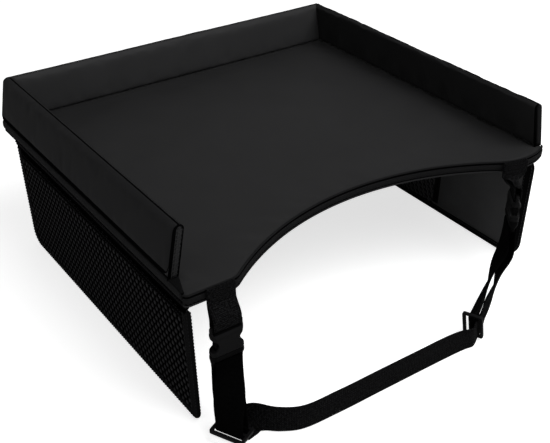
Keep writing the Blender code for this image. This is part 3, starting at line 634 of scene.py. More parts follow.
def make_play_pad():
    """The play surface's coated skin over its foam, with a soft crown."""
    flat = [p for step in PAD_EDGE_STEPS for p in outline(PAD_INSET + step)]
    inner = WALL_THICK + 0.0002
    for reach in PAD_FOOT_STEPS:
        half, back = HALF_WIDTH - inner - reach, BACK - inner - reach
        flat += [(x, back) for x in np.arange(-half, half, PAD_CELL)]
        for sign in (-1, 1):
            flat += [(sign * half, y) for y in np.arange(FRONT + 0.022, back, PAD_CELL)]
    xs = np.arange(-HALF_WIDTH + 0.016, HALF_WIDTH - 0.015, PAD_CELL)
    ys = np.arange(FRONT + PAD_CLEAR, BACK - 0.015, PAD_CELL)
    grid = [(x, y) for y in ys for x in xs]
    front = front_line(0.0, 4)
    far = nearest(grid, outline(0.0))
    edge_y = np.interp([x for x, _ in grid], *zip(*sorted(front)))
    flat += [p for p, d, y in zip(grid, far, edge_y) if d > PAD_CLEAR and p[1] > y]
    verts, faces, order = filled(outline(PAD_INSET), flat)
    verts = np.array(verts)
    wall = np.minimum(HALF_WIDTH - inner - np.abs(verts[:, 0]), BACK - inner - verts[:, 1])
    height = pad_height(nearest(verts, front), np.maximum(wall, 0))
    points = [Vector((x, y, z)) for (x, y), z in zip(verts, height)]
    corners = [tuple((points[v].x, points[v].y) for v in face) for face in faces]
    below = len(points)
    points += [Vector((points[i].x, points[i].y, PAD_LOW)) for i in order]
    total = len(order)
    run = lengths([points[i] for i in order] + [points[order[0]]])
    for i in range(total):
        j = (i + 1) % total
        faces.append((order[j], order[i], below + i, below + j))
        corners.append(((run[i + 1], 0), (run[i], 0), (run[i], PAD_LOW), (run[i + 1], PAD_LOW)))
    bottom = range(below + total - 1, below - 1, -1)
    faces.append(tuple(bottom))
    corners.append(tuple((points[i].x, points[i].y) for i in bottom))
    piece = add_piece("play_pad", points, faces, corners, PLAY, "tray", "coated_fabric",
                      ("play_surface_skin", "foam_pad"))
    held = np.ones(len(points))
    held[:len(verts)] = (wall <= PAD_SEWN) | (nearest(verts, front) <= PAD_INSET + PAD_EDGE_SEWN)
    puff(piece, held, *PAD_PUFF)


BAND_PROFILE = (
    (-0.0018, -0.0013), (-0.0016, -0.0007), (-0.0010, -0.0003), (-0.0003, -0.0005), (0.0001, -0.0011),
    (0.0001, -0.0018), (-0.0005, -0.0025), (-0.0006, -0.0028), (-0.0001, -0.0034), (0.0003, -0.0048),
    (0.0004, -0.0064), (0.0002, -0.0079), (-0.0004, -0.0088), (-0.0005, -0.0091), (0.0000, -0.0097),
    (0.0002, -0.0106), (-0.0001, -0.0115), (-0.0008, -0.0120), (-0.0018, -0.0120),
)
# Rows of the band's section: its grooves, in painted shade, and its lower bead, with a painted highlight
LIP_GROOVE_SHADE = (5, 6, 7, 12, 13)
LIP_BEAD_HIGHLIGHT = (14, 15, 16)
LIP_STITCHES = ((0.0002, -0.0040), (0.0002, -0.0083))


def make_band(name, line, profile, replaced, rows, thread):
    """A band swept along the board's edge, with rows of stitches at their places in its section."""
    stations = frames([Vector((x, y, 0)) for x, y in line], UP)
    piece = sweep(name, stations, profile, OXFORD, "tray", "oxford_fabric", (replaced,), 1)
    away = [side for _, side, _ in stations]
    sewn = [([c + side * a + UP * b for c, side, _ in stations], away) for a, b in rows]
    stitches(name + "_stitches", sewn, "tray", "oxford_fabric", thread)
    return piece


def make_front_lip():
    """The oxford band on the belly edge: a piping, a stitched groove and a rounded band, with painted shade
    in its grooves and a painted highlight on its lower bead.
    """
    piece = make_band("front_lip", front_line(0.0, 2), BAND_PROFILE, "front_lip_band", LIP_STITCHES, TWINE)
    # Painted shade in the grooves and a painted highlight on the bead
    reface(piece, len(BAND_PROFILE), LIP_GROOVE_SHADE, SHADE_BLACK)
    reface(piece, len(BAND_PROFILE), LIP_BEAD_HIGHLIGHT, LIT_GUSSET)


RIM_PROFILE = (
    (-0.0020, -0.0004), (-0.0014, 0.0000), (-0.0005, 0.0000), (0.0002, -0.0008), (0.0004, -0.0026),
    (0.0004, -0.0050), (0.0001, -0.0070), (-0.0006, -0.0083), (-0.0013, -0.0089), (-0.0012, -0.0095),
    (-0.0010, -0.0102), (-0.0011, -0.0110), (-0.0014, -0.0116), (-0.0020, -0.0120),
)
RIM_SHADE_START = 7
RIM_STITCHES = ((-0.0009, -0.0103),)


def make_rim():
    """The band round the other three sides: a rounded bead under the walls over a drawn-in hem, which is
    black as painted shade.
    """
    piece = make_band("rim", rear_line(0.0), RIM_PROFILE, "rim_band", RIM_STITCHES, DARK_AND_SHADE_TWINE)
    size = len(RIM_PROFILE)
    # Painted shade: the hem under the bead and the band's top inner edge are black
    reface(piece, size, [0, *range(RIM_SHADE_START, size)], SHADE_BLACK)


# The underside's rings, as (inset, height over the board's underside)
UNDERSIDE_RINGS = ((0.0014, 0.0006), (0.0030, 0.0001), (0.0014, 0.0009))


def make_underside():
    """The lining under the board, drawn up a little at its edge."""
    points = [Vector((x, y, BOARD_LOW + rise)) for inset, rise in UNDERSIDE_RINGS for x, y in outline(inset)]
    count = len(points) // len(UNDERSIDE_RINGS)
    faces = []
    for low, high in ((0, count), (2 * count, 0)):
        for i in range(count):
            j = (i + 1) % count
            faces.append((low + i, high + i, high + j, low + j))
    faces.append(tuple(range(2 * count - 1, count - 1, -1)))
    faces.append(tuple(range(2 * count, 3 * count)))
    corners = [tuple((points[v].x, points[v].y) for v in face) for face in faces]
    add_piece("underside_lining", points, faces, corners, LIT_LINING, "tray", "lining_fabric",
              ("underside_skin",))


# Walls


def wall_point(side, inward, height, along):
    rise = height / WALL_TOP
    if side == "back":
        return Vector((along, BACK - inward - BACK_LEAN * rise, height))
    return Vector((SIGN[side] * (HALF_WIDTH - inward - SIDE_LEAN * rise), along, height))


def wall_ends(side, inward, height):
    if side == "back":
        reach = HALF_WIDTH - inward - SIDE_LEAN * height / WALL_TOP - CLEAR
        return -reach, reach
    return WALL_START[side] + 0.0010, BACK - inward - BACK_LEAN * height / WALL_TOP - CLEAR


WALL_STEP = 0.0045
END_STEP = 0.0004
SEAM_DEPTH = 0.0009
SEAM_TURN = 0.15
TOP_STITCH_TURN = math.radians(66)
WALL_UNDERCUT = (
    (0.0007, WALL_FOOT), (0.0006, 0.0012), (0.0005, 0.0030), (0.0002, 0.0038), (0.0, 0.0043), (0.0, 0.0050),
)
WALL_RADIUS = WALL_THICK / 2
WALL_SPRING = WALL_TOP - WALL_RADIUS


def wall_section():
    """The cover's section: from its undercut foot up, over a seam on the round top, and down inside."""
    centre = (WALL_RADIUS, WALL_SPRING)
    plain = [0.0070 + 0.0050 * i for i in range(7)]
    quarter = math.pi / 2
    outer = list(WALL_UNDERCUT) + [(0.0, h) for h in plain]
    top = arc(centre, WALL_RADIUS, math.pi, quarter + SEAM_TURN, 5)
    top += [(WALL_RADIUS, WALL_TOP - SEAM_DEPTH)] + arc(centre, WALL_RADIUS, quarter - SEAM_TURN, 0.0, 5)
    inner = [(WALL_THICK, h) for h in plain[::-1] + [0.0040]]
    return outer + top + inner + [(WALL_THICK - 0.0004, 0.0016), (WALL_THICK - 0.0014, WALL_FOOT - 0.0006)]


def reface(piece, size, rows, surface):
    """Gives a tube's faces in some of its rows along another surface."""
    piece.data.materials.append(surface)
    last = len(piece.data.materials) - 1
    for face in piece.data.polygons:
        if len(face.vertices) == 4 and face.index % size in rows:
            face.material_index = last


WRINKLE_SIZE = {"left": 0.00015, "back": 0.00015, "right": 0.00130}
WRINKLE_HEIGHT = 0.006
WRINKLE_REACH = 0.007


def wrinkle(side, height, along):
    """How far a wall's inner face is pushed in at its foot, where its cloth bunches up."""
    near = math.exp(-((height - WRINKLE_HEIGHT) / WRINKLE_REACH) ** 2)
    folds = math.sin(along * 170 + 1.7 * math.sin(along * 31)) + 0.6 * math.sin(along * 390 + 0.4)
    return WRINKLE_SIZE[side] * near * folds


def make_wall(side):
    """A wall's coated cover over its board and foam, drawn in at its seams."""
    section = wall_section()
    low, high = wall_ends(side, 0.0, 0.0)
    reach = high - low
    count = int(reach / WALL_STEP)
    shares = [0.0, END_STEP / reach] + [i / count for i in range(1, count)] + [1 - END_STEP / reach, 1.0]
    rings = []
    for share in shares:
        ring = []
        for s, h in section:
            start, end = wall_ends(side, s, h)
            along = start + (end - start) * share
            inward = s + wrinkle(side, h, along) if s > WALL_THICK * 0.9 else s
            ring.append(wall_point(side, inward, h, along))
        rings.append(ring)
    replaced = ("wall_cover_" + side, "wall_pad_" + side)
    piece = add_piece("wall_" + side, *tube(rings), COATED, "tray", "coated_fabric", replaced, 1)
    size = len(section)
    seam = section.index((WALL_RADIUS, WALL_TOP - SEAM_DEPTH))
    foot = len(WALL_UNDERCUT)
    # Painted light on the back wall's inner face and painted shade on the side walls' inner faces, from the
    # top seam down
    reface(piece, size, range(seam, size), LIT if side == "back" else SHADED)
    # Painted shade, black: the undercut foot, the top seam's groove and the inner foot's last row
    reface(piece, size, [*range(foot - 1), seam - 1, seam, size - 1], SHADE_BLACK)
    held = np.zeros(len(rings) * size)
    seams = [*range(foot), seam - 1, seam, seam + 1, size - 2, size - 1]
    for i in range(len(rings)):
        held[[i * size + j for j in seams]] = 1
        if i < 2 or i > len(rings) - 3:
            held[i * size:(i + 1) * size] = 1
    puff(piece, held, *WALL_PUFF[side])
    make_top_stitches(side, shares[1:-1])


def make_top_stitches(side, shares):
    """The row of stitches along a wall's top, just inside its seam."""
    reach = WALL_RADIUS * math.cos(TOP_STITCH_TURN), WALL_RADIUS * math.sin(TOP_STITCH_TURN)
    s, h = WALL_RADIUS + reach[0], WALL_SPRING + reach[1]
    start, end = wall_ends(side, s, h)
    row = [wall_point(side, s, h, start + (end - start) * share) for share in shares]
    middle = wall_point(side, WALL_RADIUS, WALL_SPRING, start)
    away = (wall_point(side, s, h, start) - middle).normalized()
    stitches("wall_top_stitches_" + side, [(row, away)], "tray", "coated_fabric")


GUSSET_MIDDLE = {"left": 0.0052, "right": 0.0043}
GUSSET_FOOT = -0.0013
GUSSET_HALF = 0.0027
GUSSET_TAPER = 0.0040
GUSSET_PROFILE = (
    (-1.00, -0.0003), (-1.00, 0.0002), (-0.92, 0.0005), (-0.50, 0.0007), (0.00, 0.00075), (0.50, 0.0007),
    (0.92, 0.0005), (1.00, 0.0002), (1.00, -0.0003),
)
# The left strip is in the paler cloth as painted light; the right one is plain oxford
GUSSET_SURFACE = {"left": LIT_GUSSET, "right": OXFORD}
GUSSET_STITCH_SHARES = (-0.78, 0.78)


def make_gusset(side):
    """The end of a side wall: a dark seam all round it, deepened to black as painted shade, and an oxford
    strip up its middle.
    """
    start = WALL_START[side]
    edge = [(0.0, GUSSET_FOOT), (0.0, WALL_SPRING / 2)]
    edge += arc((WALL_RADIUS, WALL_SPRING), WALL_RADIUS - 0.0002, math.pi, 0.0, 14)
    edge += [(WALL_THICK, WALL_SPRING / 2), (WALL_THICK, GUSSET_FOOT)]
    rings = [[wall_point(side, s, h, start + back) for s, h in edge] for back in (0.0003, 0.0012)]
    replaced = ("wall_end_gusset_" + side,)
    add_piece("wall_end_seam_" + side, *tube(rings), SHADE_BLACK, "tray", "oxford_fabric", replaced)
    straight_top = WALL_TOP - 0.0014 - GUSSET_TAPER
    heights = [WALL_FOOT + (straight_top - WALL_FOOT) * i / 12 for i in range(13)]
    heights += [straight_top + GUSSET_TAPER * math.sin(math.pi / 2 * i / 6) for i in range(1, 7)]
    rings, rows = [], ([], [])
    for h in heights:
        past = max(h - straight_top, 0) / GUSSET_TAPER
        half = GUSSET_HALF * math.sqrt(max(1 - past ** 2, 0.02))
        middle = GUSSET_MIDDLE[side] + (WALL_RADIUS - GUSSET_MIDDLE[side]) * past
        rings.append([wall_point(side, middle + a * half, h, start - b) for a, b in GUSSET_PROFILE])
        for row, a in zip(rows, GUSSET_STITCH_SHARES):
            row.append(wall_point(side, middle + a * half, h, start - 0.0007))
    add_piece("wall_end_strip_" + side, *tube(rings), GUSSET_SURFACE[side], "tray", "oxford_fabric")
    sewn = [(row, Vector((0, -1, 0))) for row in rows]
    stitches("wall_end_stitches_" + side, sewn, "tray", "oxford_fabric", DARK_AND_SHADE_TWINE)
    make_wall_corner(side)
    make_corner_fold(side)


FOLD_PROFILE = (
    (0.02, -0.0014), (0.02, 0.0000), (0.15, 0.0003), (0.50, 0.0004), (0.85, 0.0003), (1.00, -0.0002),
    (1.00, -0.0014),
)
FOLD_STEPS = 12
FOLD_END = 0.0022
FOLD_STOP = {"left": FRONT + 0.0050, "right": right_corner(0.0)[0][1] + 0.0010}


def make_corner_fold(side):
    """The rim's cloth that lies over the tray's corner, from a wall's end to the front."""
    start, stop = WALL_START[side] + 0.0004, FOLD_STOP[side]
    rings = []
    for i in range(FOLD_STEPS + 1):
        share = i / FOLD_STEPS
        width = WALL_THICK + (FOLD_END - WALL_THICK) * share
        y = start + (stop - start) * share
        rings.append([Vector((SIGN[side] * (HALF_WIDTH - a * width), y, z)) for a, z in FOLD_PROFILE])
    add_piece("corner_fold_" + side, *tube(rings), BINDING, "tray", "oxford_fabric")


CORNER_RADIUS = 0.0070
CORNER_GROOVE = 0.0010
CORNER_RISE = 0.0003
CORNER_FOOT = 0.0030
CORNER_STEPS = 12


def make_wall_corner(side):
    """The band at a side wall's lower front corner, which turns up round it, pale as painted light, and the
    seam inside it, black as painted shade.
    """
    begin = WALL_START[side] + 0.0006
    middle = (begin + CORNER_RADIUS, CORNER_FOOT + CORNER_RADIUS)
    outer = arc(middle, CORNER_RADIUS, math.pi, 1.5 * math.pi, CORNER_STEPS)
    inner = arc(middle, CORNER_RADIUS - CORNER_GROOVE, math.pi, 1.5 * math.pi, CORNER_STEPS)
    half = CORNER_STEPS // 2
    square = [(begin, h) for _, h in outer[:half]] + [(begin, CORNER_FOOT)]
    square += [(y, CORNER_FOOT) for y, _ in outer[half + 1:]]
    parts = (("wall_corner_band_", square, outer, LIT_GUSSET), ("wall_corner_seam_", outer, inner, SHADE_BLACK))
    for name, edge, other, surface in parts:
        rings = []
        for a, b in zip(edge, other):
            line = [(a, CORNER_RISE / 3), (a, CORNER_RISE), (b, CORNER_RISE)]
            line += [(b, -CORNER_RISE), (a, -CORNER_RISE)]
            rings.append([wall_point(side, -rise, h, y) for (y, h), rise in line])
        add_piece(name + side, *tube(rings), surface, "tray", "oxford_fabric")


# Wings


def wing_place(side):
    """A wing's own frame: along from its front, down from the hinge, and out of its inner face."""
    sign = SIGN[side]
    pivot = Vector((HINGE[side].x, WING_FRONT[side], HINGE[side].z))
    cos, sin = math.cos(WING_LEAN), math.sin(WING_LEAN)

    def place(u, v, w):
        inward = -sign * w
        return pivot + Vector((inward * cos - sign * v * sin, u, -v * cos - sign * inward * sin))

    return place


WING_FRONT = {side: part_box("wing_binding_" + side)[0].y for side in SIDES}
WING_SPAN = {side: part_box("wing_binding_" + side)[1].y - WING_FRONT[side] for side in SIDES}
WING_LENGTH = (HINGE["left"].z - FLOOR_Z - WING_HALF * math.sin(WING_LEAN)) / math.cos(WING_LEAN)


def wing_edge(side, inset, steps=8):
    """The front, lower and back edges of a wing, moved in by inset."""
    span = WING_SPAN[side]
    low = WING_LENGTH - inset
    top = max(WING_TOP_RADIUS[side] - inset, LEAST_CORNER)
    front = max(WING_FRONT_RADIUS[side] - inset, LEAST_CORNER)
    back = max(WING_BACK_RADIUS - inset, LEAST_CORNER)
    quarter = math.pi / 2
    line = arc((inset + top, WING_TOP + top), top, 3 * quarter, math.pi, steps)
    line += straight(line[-1], (inset, low - front), 16)
    line += arc((inset + front, low - front), front, math.pi, quarter, steps)
    line += straight(line[-1], (span - inset - back, low), 60)
    line += arc((span - inset - back, low - back), back, quarter, 0.0, steps)
    return line + straight(line[-1], (span - inset, WING_TOP), 20) + [(span - inset, WING_TOP)]


def inside_wing(side, u, v, inset):
    """Which places lie inside a wing's edge moved in by inset."""
    span = WING_SPAN[side]
    low = WING_LENGTH - inset
    radius = np.where(u < span / 2, WING_FRONT_RADIUS[side], WING_BACK_RADIUS)
    radius = np.maximum(radius - inset, LEAST_CORNER)
    reach = np.maximum(radius - np.minimum(u - inset, span - inset - u), 0)
    drop = np.maximum(v - (low - radius), 0)
    return (u > inset) & (u < span - inset) & (v > WING_TOP) & (v < low) & (np.hypot(reach, drop) < radius)


def wave(u, v):
    """The slight unevenness of a hung cloth panel, from -1 to 1."""
    return (math.sin(u * 41 + v * 23 + 0.6) + math.sin(u * 87 - v * 61 + 2.1) * 0.5) / 1.5


PANEL_WAVE = 0.00022
PANEL_CELL = 0.006
PANEL_LEVEL = WING_PANEL / 2 - 0.0002


def make_panel(side, place):
    """A wing's lined panel, whose outer side behind the net is black as painted shade in the net's slits."""
    along = np.arange(PANEL_CELL, WING_SPAN[side] - 0.004, PANEL_CELL)
    down = np.arange(WING_TOP + 0.004, WING_LENGTH - 0.003, PANEL_CELL)
    grid = [(u, v) for u in along for v in down if inside_wing(side, u, v, 0.004)]
    flat, inner, order = filled(wing_edge(side, 0.0010), grid)
    total = len(flat)
    points = []
    for level in (PANEL_LEVEL, -PANEL_LEVEL):
        points += [place(u, v, level + PANEL_WAVE * wave(u, v)) for u, v in flat]
    faces = inner + [tuple(total + v for v in reversed(face)) for face in inner]
    corners = [tuple(flat[v % total] for v in face) for face in faces]
    for a, b in zip(order, order[1:] + order[:1]):
        faces.append((a, b, total + b, total + a))
        corners.append((flat[a], flat[b], flat[b], flat[a]))
    piece = add_piece("wing_lining_" + side, points, faces, corners, LIT_LINING, side + "_wing", "lining_fabric",
                      ("wing_panel_" + side,))
    # Painted shade: the outer faces are black behind the net
    piece.data.materials.append(NET_SLIT_SHADE)
    for face in piece.data.polygons[len(inner):2 * len(inner)]:
        face.material_index = 1


def make_binding(side, place):
    """A tape folded round the wing's edge, with two rows of stitches on each face."""
    outer = WING_PANEL / 2 + CLEAR + BINDING_THICK
    inner = WING_PANEL / 2 + CLEAR - 0.0001

    def fold(reach):
        half = [(reach, inner), (reach + 0.0001, outer - 0.0001), (reach - 0.0006, outer + 0.0001),
                (reach * 0.6, outer - 0.0001), (reach * 0.3, outer + 0.0001), (0.0014, outer - 0.0001),
                (0.0004, outer * 0.72), (0.0000, outer * 0.3)]
        hollow = [(0.0012, -inner), (0.0009, 0.0), (0.0012, inner)]
        return half + [(a, -b) for a, b in reversed(half)] + hollow

    flat = wing_edge(side, 0.0)
    face = place(0, 0, 1) - place(0, 0, 0)
    stations = frames([place(u, v, 0) for u, v in flat], face)
    middle = place(WING_SPAN[side] / 2, WING_LENGTH / 2, 0)
    half_way, into, _ = stations[len(stations) // 2]
    sign = 1 if (middle - half_way).dot(into) > 0 else -1
    rings, reaches = [], []
    for (c, into, _), (u, _) in zip(stations, flat):
        near = smooth_share((min(u, WING_SPAN[side] - u) - BINDING_START) / BINDING_NARROWS)
        reaches.append(BINDING_WIDTH + (LOW_BINDING - BINDING_WIDTH) * near)
        rings.append([c + into * (sign * a) + face * b for a, b in fold(reaches[-1])])
    replaced = ("wing_binding_" + side,)
    add_piece("wing_binding_tape_" + side, *tube(rings), BINDING, side + "_wing", "oxford_fabric", replaced)
    for label, way, thread in (("", -1, TWINE), ("inner_", 1, PALE_TWINE)):
        rise = face * (way * (outer + 0.00005))
        rows = []
        for places in ([BINDING_STITCH] * len(reaches), [reach - BINDING_STITCH for reach in reaches]):
            row = [c + into * (sign * a) + rise for (c, into, _), a in zip(stations, places)]
            rows.append((row, face * way))
        stitches("wing_binding_stitches_" + label + side, rows, side + "_wing", "oxford_fabric", thread)


NET_INSET = BINDING_WIDTH - 0.0040
NET_CELL_STEPS = 7
NET_SLIT = -0.62
NET_LOW = 0.0001
NET_RISE = 0.0008
NET_RUMPLE = 0.0006


def make_net(name, side, place, facing, window, surface, replaced):
    """A knitted net in a window of the wing: rounded bumps in slanting rows, with open slits between."""
    left, right, top, bottom = window
    (ax, ay), (bx, by) = NET_ALONG, NET_DOWN
    turn = ax * by - ay * bx
    ends = [(u, v) for u in (0, right - left) for v in (0, bottom - top)]
    along = [(by * u - bx * v) / turn for u, v in ends]
    down = [(ax * v - ay * u) / turn for u, v in ends]
    cells = []
    for reach in (along, down):
        first, last = math.floor(min(reach) * NET_CELL_STEPS), math.ceil(max(reach) * NET_CELL_STEPS)
        cells.append(np.arange(first, last + 1) / NET_CELL_STEPS)
    p, q = np.meshgrid(*cells)
    u = left + p * ax + q * bx
    v = top + p * ay + q * by
    height = sum(share * np.cos(2 * math.pi * way) for share, way in zip(NET_SHARES, (p, q, p - q)))
    inside = inside_wing(side, u, v, NET_INSET)
    inside &= (u > left) & (u < right) & (v > top) & (v < bottom)
    number = np.arange(p.size).reshape(p.shape)
    around = (number[:-1, :-1], number[:-1, 1:], number[1:, 1:], number[1:, :-1])
    quads = np.stack([a.ravel() for a in around], 1)
    whole = inside.ravel()[quads].all(1) & (height.ravel()[quads].mean(1) > NET_SLIT)
    quads = quads[whole] if facing > 0 else quads[whole][:, ::-1]
    used, quads = np.unique(quads, return_inverse=True)
    quads = quads.reshape(-1, 4)
    p, q, u, v, height = (a.ravel()[used] for a in (p, q, u, v, height))
    span = sum(NET_SHARES) - NET_SLIT
    rise = NET_RISE * np.clip((height - NET_SLIT) / span, 0, 1) ** 0.6
    rumple = np.sin(u * 260) * 0.5 + np.sin(u * 113 + 1.3) * 0.5
    fold = NET_RUMPLE * (rumple - 0.4) * np.exp(-np.maximum(v - top, 0) / 0.010)
    level = WING_PANEL / 2 + NET_LOW + np.maximum(rise + fold, 0)
    points = [place(a, b, facing * c) for a, b, c in zip(u.tolist(), v.tolist(), level.tolist())]
    cells = list(zip(p.tolist(), q.tolist()))
    faces = [tuple(quad) for quad in quads.tolist()]
    corners = [tuple(cells[k] for k in face) for face in faces]
    add_piece(name, points, faces, corners, surface, side + "_wing", "net_fabric", replaced)


STRIP_THICK = 0.0006
STRIP_SIDE = STRIP_THICK * 0.6
STRIP_EDGE = 0.0005
STRIP_STITCH = 0.0012
STRIP_STEPS = 40
STRIP_PROFILE = (
    (0.0, 0.0), (0.0, STRIP_SIDE), (STRIP_EDGE, STRIP_THICK),
    (-STRIP_EDGE, STRIP_THICK), (0.0, STRIP_SIDE), (0.0, 0.0),
)


def strip_on_wing(name, side, place, window, level, facing, surface, replaced):
    """A flat tape sewn on a wing, with rounded edges and a row of stitches at each edge."""
    left, right, top, bottom = window

    def spot(share, near, inset, rise):
        if right - left > bottom - top:
            u = left + (right - left) * share
            v = (top if near else bottom) + inset
        else:
            u = (left if near else right) + inset
            v = top + (bottom - top) * share
        return place(u, v, facing * (level + rise))

    shares = [i / STRIP_STEPS for i in range(STRIP_STEPS + 1)]
    rings = [[spot(share, k < 3, *p) for k, p in enumerate(STRIP_PROFILE)] for share in shares]
    add_piece(name, *tube(rings), surface, side + "_wing", "oxford_fabric", replaced)
    away = (place(0, 0, 1) - place(0, 0, 0)) * facing
    rows = []
    for inset in (STRIP_STITCH, -STRIP_STITCH):
        rows.append(([spot(share, inset > 0, inset, STRIP_THICK) for share in shares], away))
    stitches(name + "_stitches", rows, side + "_wing", "oxford_fabric")


def make_wing(side):
    place = wing_place(side)
    span = WING_SPAN[side]
    face = WING_PANEL / 2 + CLEAR
    net_top = WING_TOP + 0.0030
    low = WING_LENGTH - LOW_BINDING + 0.0012
    make_panel(side, place)
    make_binding(side, place)
    outer = (NET_INSET, span - NET_INSET, net_top, low)
    make_net("wing_net_cloth_" + side, side, place, -1, outer, YARN, ("wing_net_" + side,))
    hem = (BINDING_WIDTH, span - BINDING_WIDTH, *HEM)
    # The hem tape is black as painted shade under the rim
    strip_on_wing("wing_hem_tape_" + side, side, place, hem, face + 0.0002, -1, SHADE_BLACK, ("wing_hem_" + side,))
    seam_end = SEAM_PLACE + SEAM_WIDTH
    seam = (SEAM_PLACE, seam_end, WING_TOP, WING_LENGTH - BINDING_WIDTH - CLEAR)
    strip_on_wing("wing_seam_tape_" + side, side, place, seam, face - 0.0003, 1, BINDING,
                  ("wing_seam_" + side,))
    inner = (seam_end - 0.0010, span - NET_INSET, net_top, low)
    make_net("wing_inner_net_" + side, side, place, 1, inner, LIT_INNER_YARN, ("wing_inner_mesh_" + side,))
    make_welt(side, place)


def evenly(start, end, steps):
    return [start.lerp(end, i / steps) for i in range(steps + 1)]


def make_welt(side, place):
    """The corded seam that the wing turns on, black as painted shade under the rim."""
    line = evenly(place(WING_TOP_RADIUS[side] + CLEAR, 0, 0), place(WING_SPAN[side], 0, 0), 120)
    sweep("wing_hinge_cord_" + side, frames(line, UP), circle(WING_HALF, 14), SHADE_BLACK, side + "_wing",
          "oxford_fabric", ("wing_welt_" + side,))


def make_tape(side):
    """The tape under the board that the wing hangs from."""
    low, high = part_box("hinge_tape_" + side)
    middle = (low + high) / 2
    half_x, half_z = (high.x - low.x) / 2, (high.z - low.z) / 2
    corner = [(half_x, half_z * 0.4), (half_x - 0.0004, half_z)]
    upper = corner + [(-x, z) for x, z in reversed(corner)]
    profile = upper + [(-x, -z) for x, z in upper]
    line = evenly(Vector((middle.x, low.y, middle.z)), Vector((middle.x, high.y, middle.z)), 80)
    sweep("hinge_band_" + side, frames(line, UP), profile, OXFORD, "tray", "oxford_fabric",
          ("hinge_tape_" + side,))


# Webbing routes


TAB_INSET = {"left": 0.0300, "right": 0.0445}
TAB_TWIST = {"left": 0.0, "right": math.radians(52)}
CHAIN_REACH = {"left": 0.0070, "right": 0.0058}
RECEIVER_DROP = {"left": -FLOOR_Z * 0.2577, "right": -FLOOR_Z * 0.2308}
RECEIVER_LENGTH = 0.0255
PLUG_BASE = 0.0045
PLUG_SLOT = 0.0042
BAR_LEAD = 0.0036
SLIDER_THICK = 0.0026
SLIDER_SHARES = {"left": (-0.2527, -0.4754), "right": (-1.958, -1.068)}
SLIDER_LIFT = {"left": WEB_WIDTH * 0.44, "right": WEB_WIDTH * 0.66}
SLIDER_TURN = {"left": Vector((0.447, -0.894, 0)), "right": Vector((0.33, 0.14, -0.93))}
SLIDER_WAY = {"left": Vector((0, 0, 1)), "right": Vector((0.869, 0.375, 0.322))}
SLIDER_EXIT = {"left": 1, "right": -1}
TAIL = 0.0060
TAIL_BLEND = 0.0140
EXIT_DROP = 0.0015
EXIT_LEAD = 0.0012
EXIT_RUN = {"left": 0.0015, "right": 0.0080}
LEAD_SHARES = ((0.75, 0.25), (1.0, 1.0))
LOOP_STEPS = 14
TURN_FROM_SHARE = 0.12
TURN_TO_SHARE = 0.80
STRAP_STEPS = 5
STRAP_REACH = 0.0540
STRAP_MIDDLE = -0.0500
STRAP_SHARES = {
    "left": ((0.08, 0.0, 0.30), (0.15, 0.25, 0.65), (0.23, 0.60, 0.90), (0.36, 0.92, 1.0), (0.64, 1.0, 1.0)),
    "right": ((0.12, 0.60, 0.60), (0.28, 0.95, 1.0), (0.60, 1.0, 1.0)),
}
SETTLE_STEPS = {"left": 1, "right": 8}
SETTLE_PASSES = 3


def bezier(points, t):
    a, b, c, d = points
    s = 1 - t
    return a * s ** 3 + b * (3 * s * s * t) + c * (3 * s * t * t) + d * t ** 3


def smooth_share(share):
    share = min(max(share, 0.0), 1.0)
    return share * share * (3 - 2 * share)


def webbing_axis(start, end, start_way, end_way, start_across, end_across):
    """Stations of (centre, way, across, normal) along a twisting run of webbing."""
    reach = (end - start).length / 3
    points = (start, start + start_way * reach, end - end_way * reach, end)
    stations = []
    for i in range(LOOP_STEPS + 1):
        t = i / LOOP_STEPS
        step = 1 / (4 * LOOP_STEPS)
        way = (bezier(points, min(t + step, 1)) - bezier(points, max(t - step, 0))).normalized()
        turned = (t - TURN_FROM_SHARE) / (TURN_TO_SHARE - TURN_FROM_SHARE)
        across = start_across.lerp(end_across, smooth_share(turned))
        across = (across - across.project(way)).normalized()
        stations.append((bezier(points, t), way, across, way.cross(across)))
    return stations


def wrap(station, sign, steps=6):
    """A half turn round a bar at the station, from its sign side to the other."""
    centre, way, _, normal = station
    turns = [math.pi * i / steps for i in range(1, steps)]
    return [centre + normal * (sign * WRAP * math.cos(a)) + way * (WRAP * math.sin(a)) for a in turns]


def tab_seat(side):
    """Where a tab's middle meets the lip's upper edge, and the way that the lip runs there."""
    x = SIGN[side] * (HALF_WIDTH - TAB_INSET[side])
    if side == "left":
        return Vector((x, FRONT, 0)), Vector((1, 0, 0))
    y, level = ear_front(x)
    return Vector((x, y, 0)), level


def chain_place(side):
    seat, _ = tab_seat(side)
    return seat - Vector((0, CHAIN_REACH[side], RECEIVER_DROP[side]))


def chain_across(side):
    return Vector((math.cos(TAB_TWIST[side]), math.sin(TAB_TWIST[side]), 0))


def tab_route(side):
    down = -UP
    bar = chain_place(side)
    square = chain_across(side)
    seat, level = tab_seat(side)
    seat += down.cross(level) * (CLEAR + WEB / 2 + STACK)
    top = seat + down * CLEAR
    sewn = seat + Vector((0, 0, BOARD_LOW - CLEAR))
    run = webbing_axis(sewn, bar - down * BAR_LEAD, down, down, level, square)
    stations = [(top, down, level, run[0][3])] + run + [(bar, down, square, down.cross(square))]
    shares = [0.0] + [i / LOOP_STEPS for i in range(LOOP_STEPS + 1)] + [1.0]
    spread = [STACK + (WRAP - STACK) * smooth_share(share) for share in shares]
    out = [s[0] + s[3] * h for s, h in zip(stations, spread)]
    back = [s[0] - s[3] * h for s, h in zip(stations, spread)]
    turn = wrap(stations[-1], 1)
    across = [s[2] for s in stations]
    return out + turn + back[::-1], across + [across[-1]] * len(turn) + across[::-1]


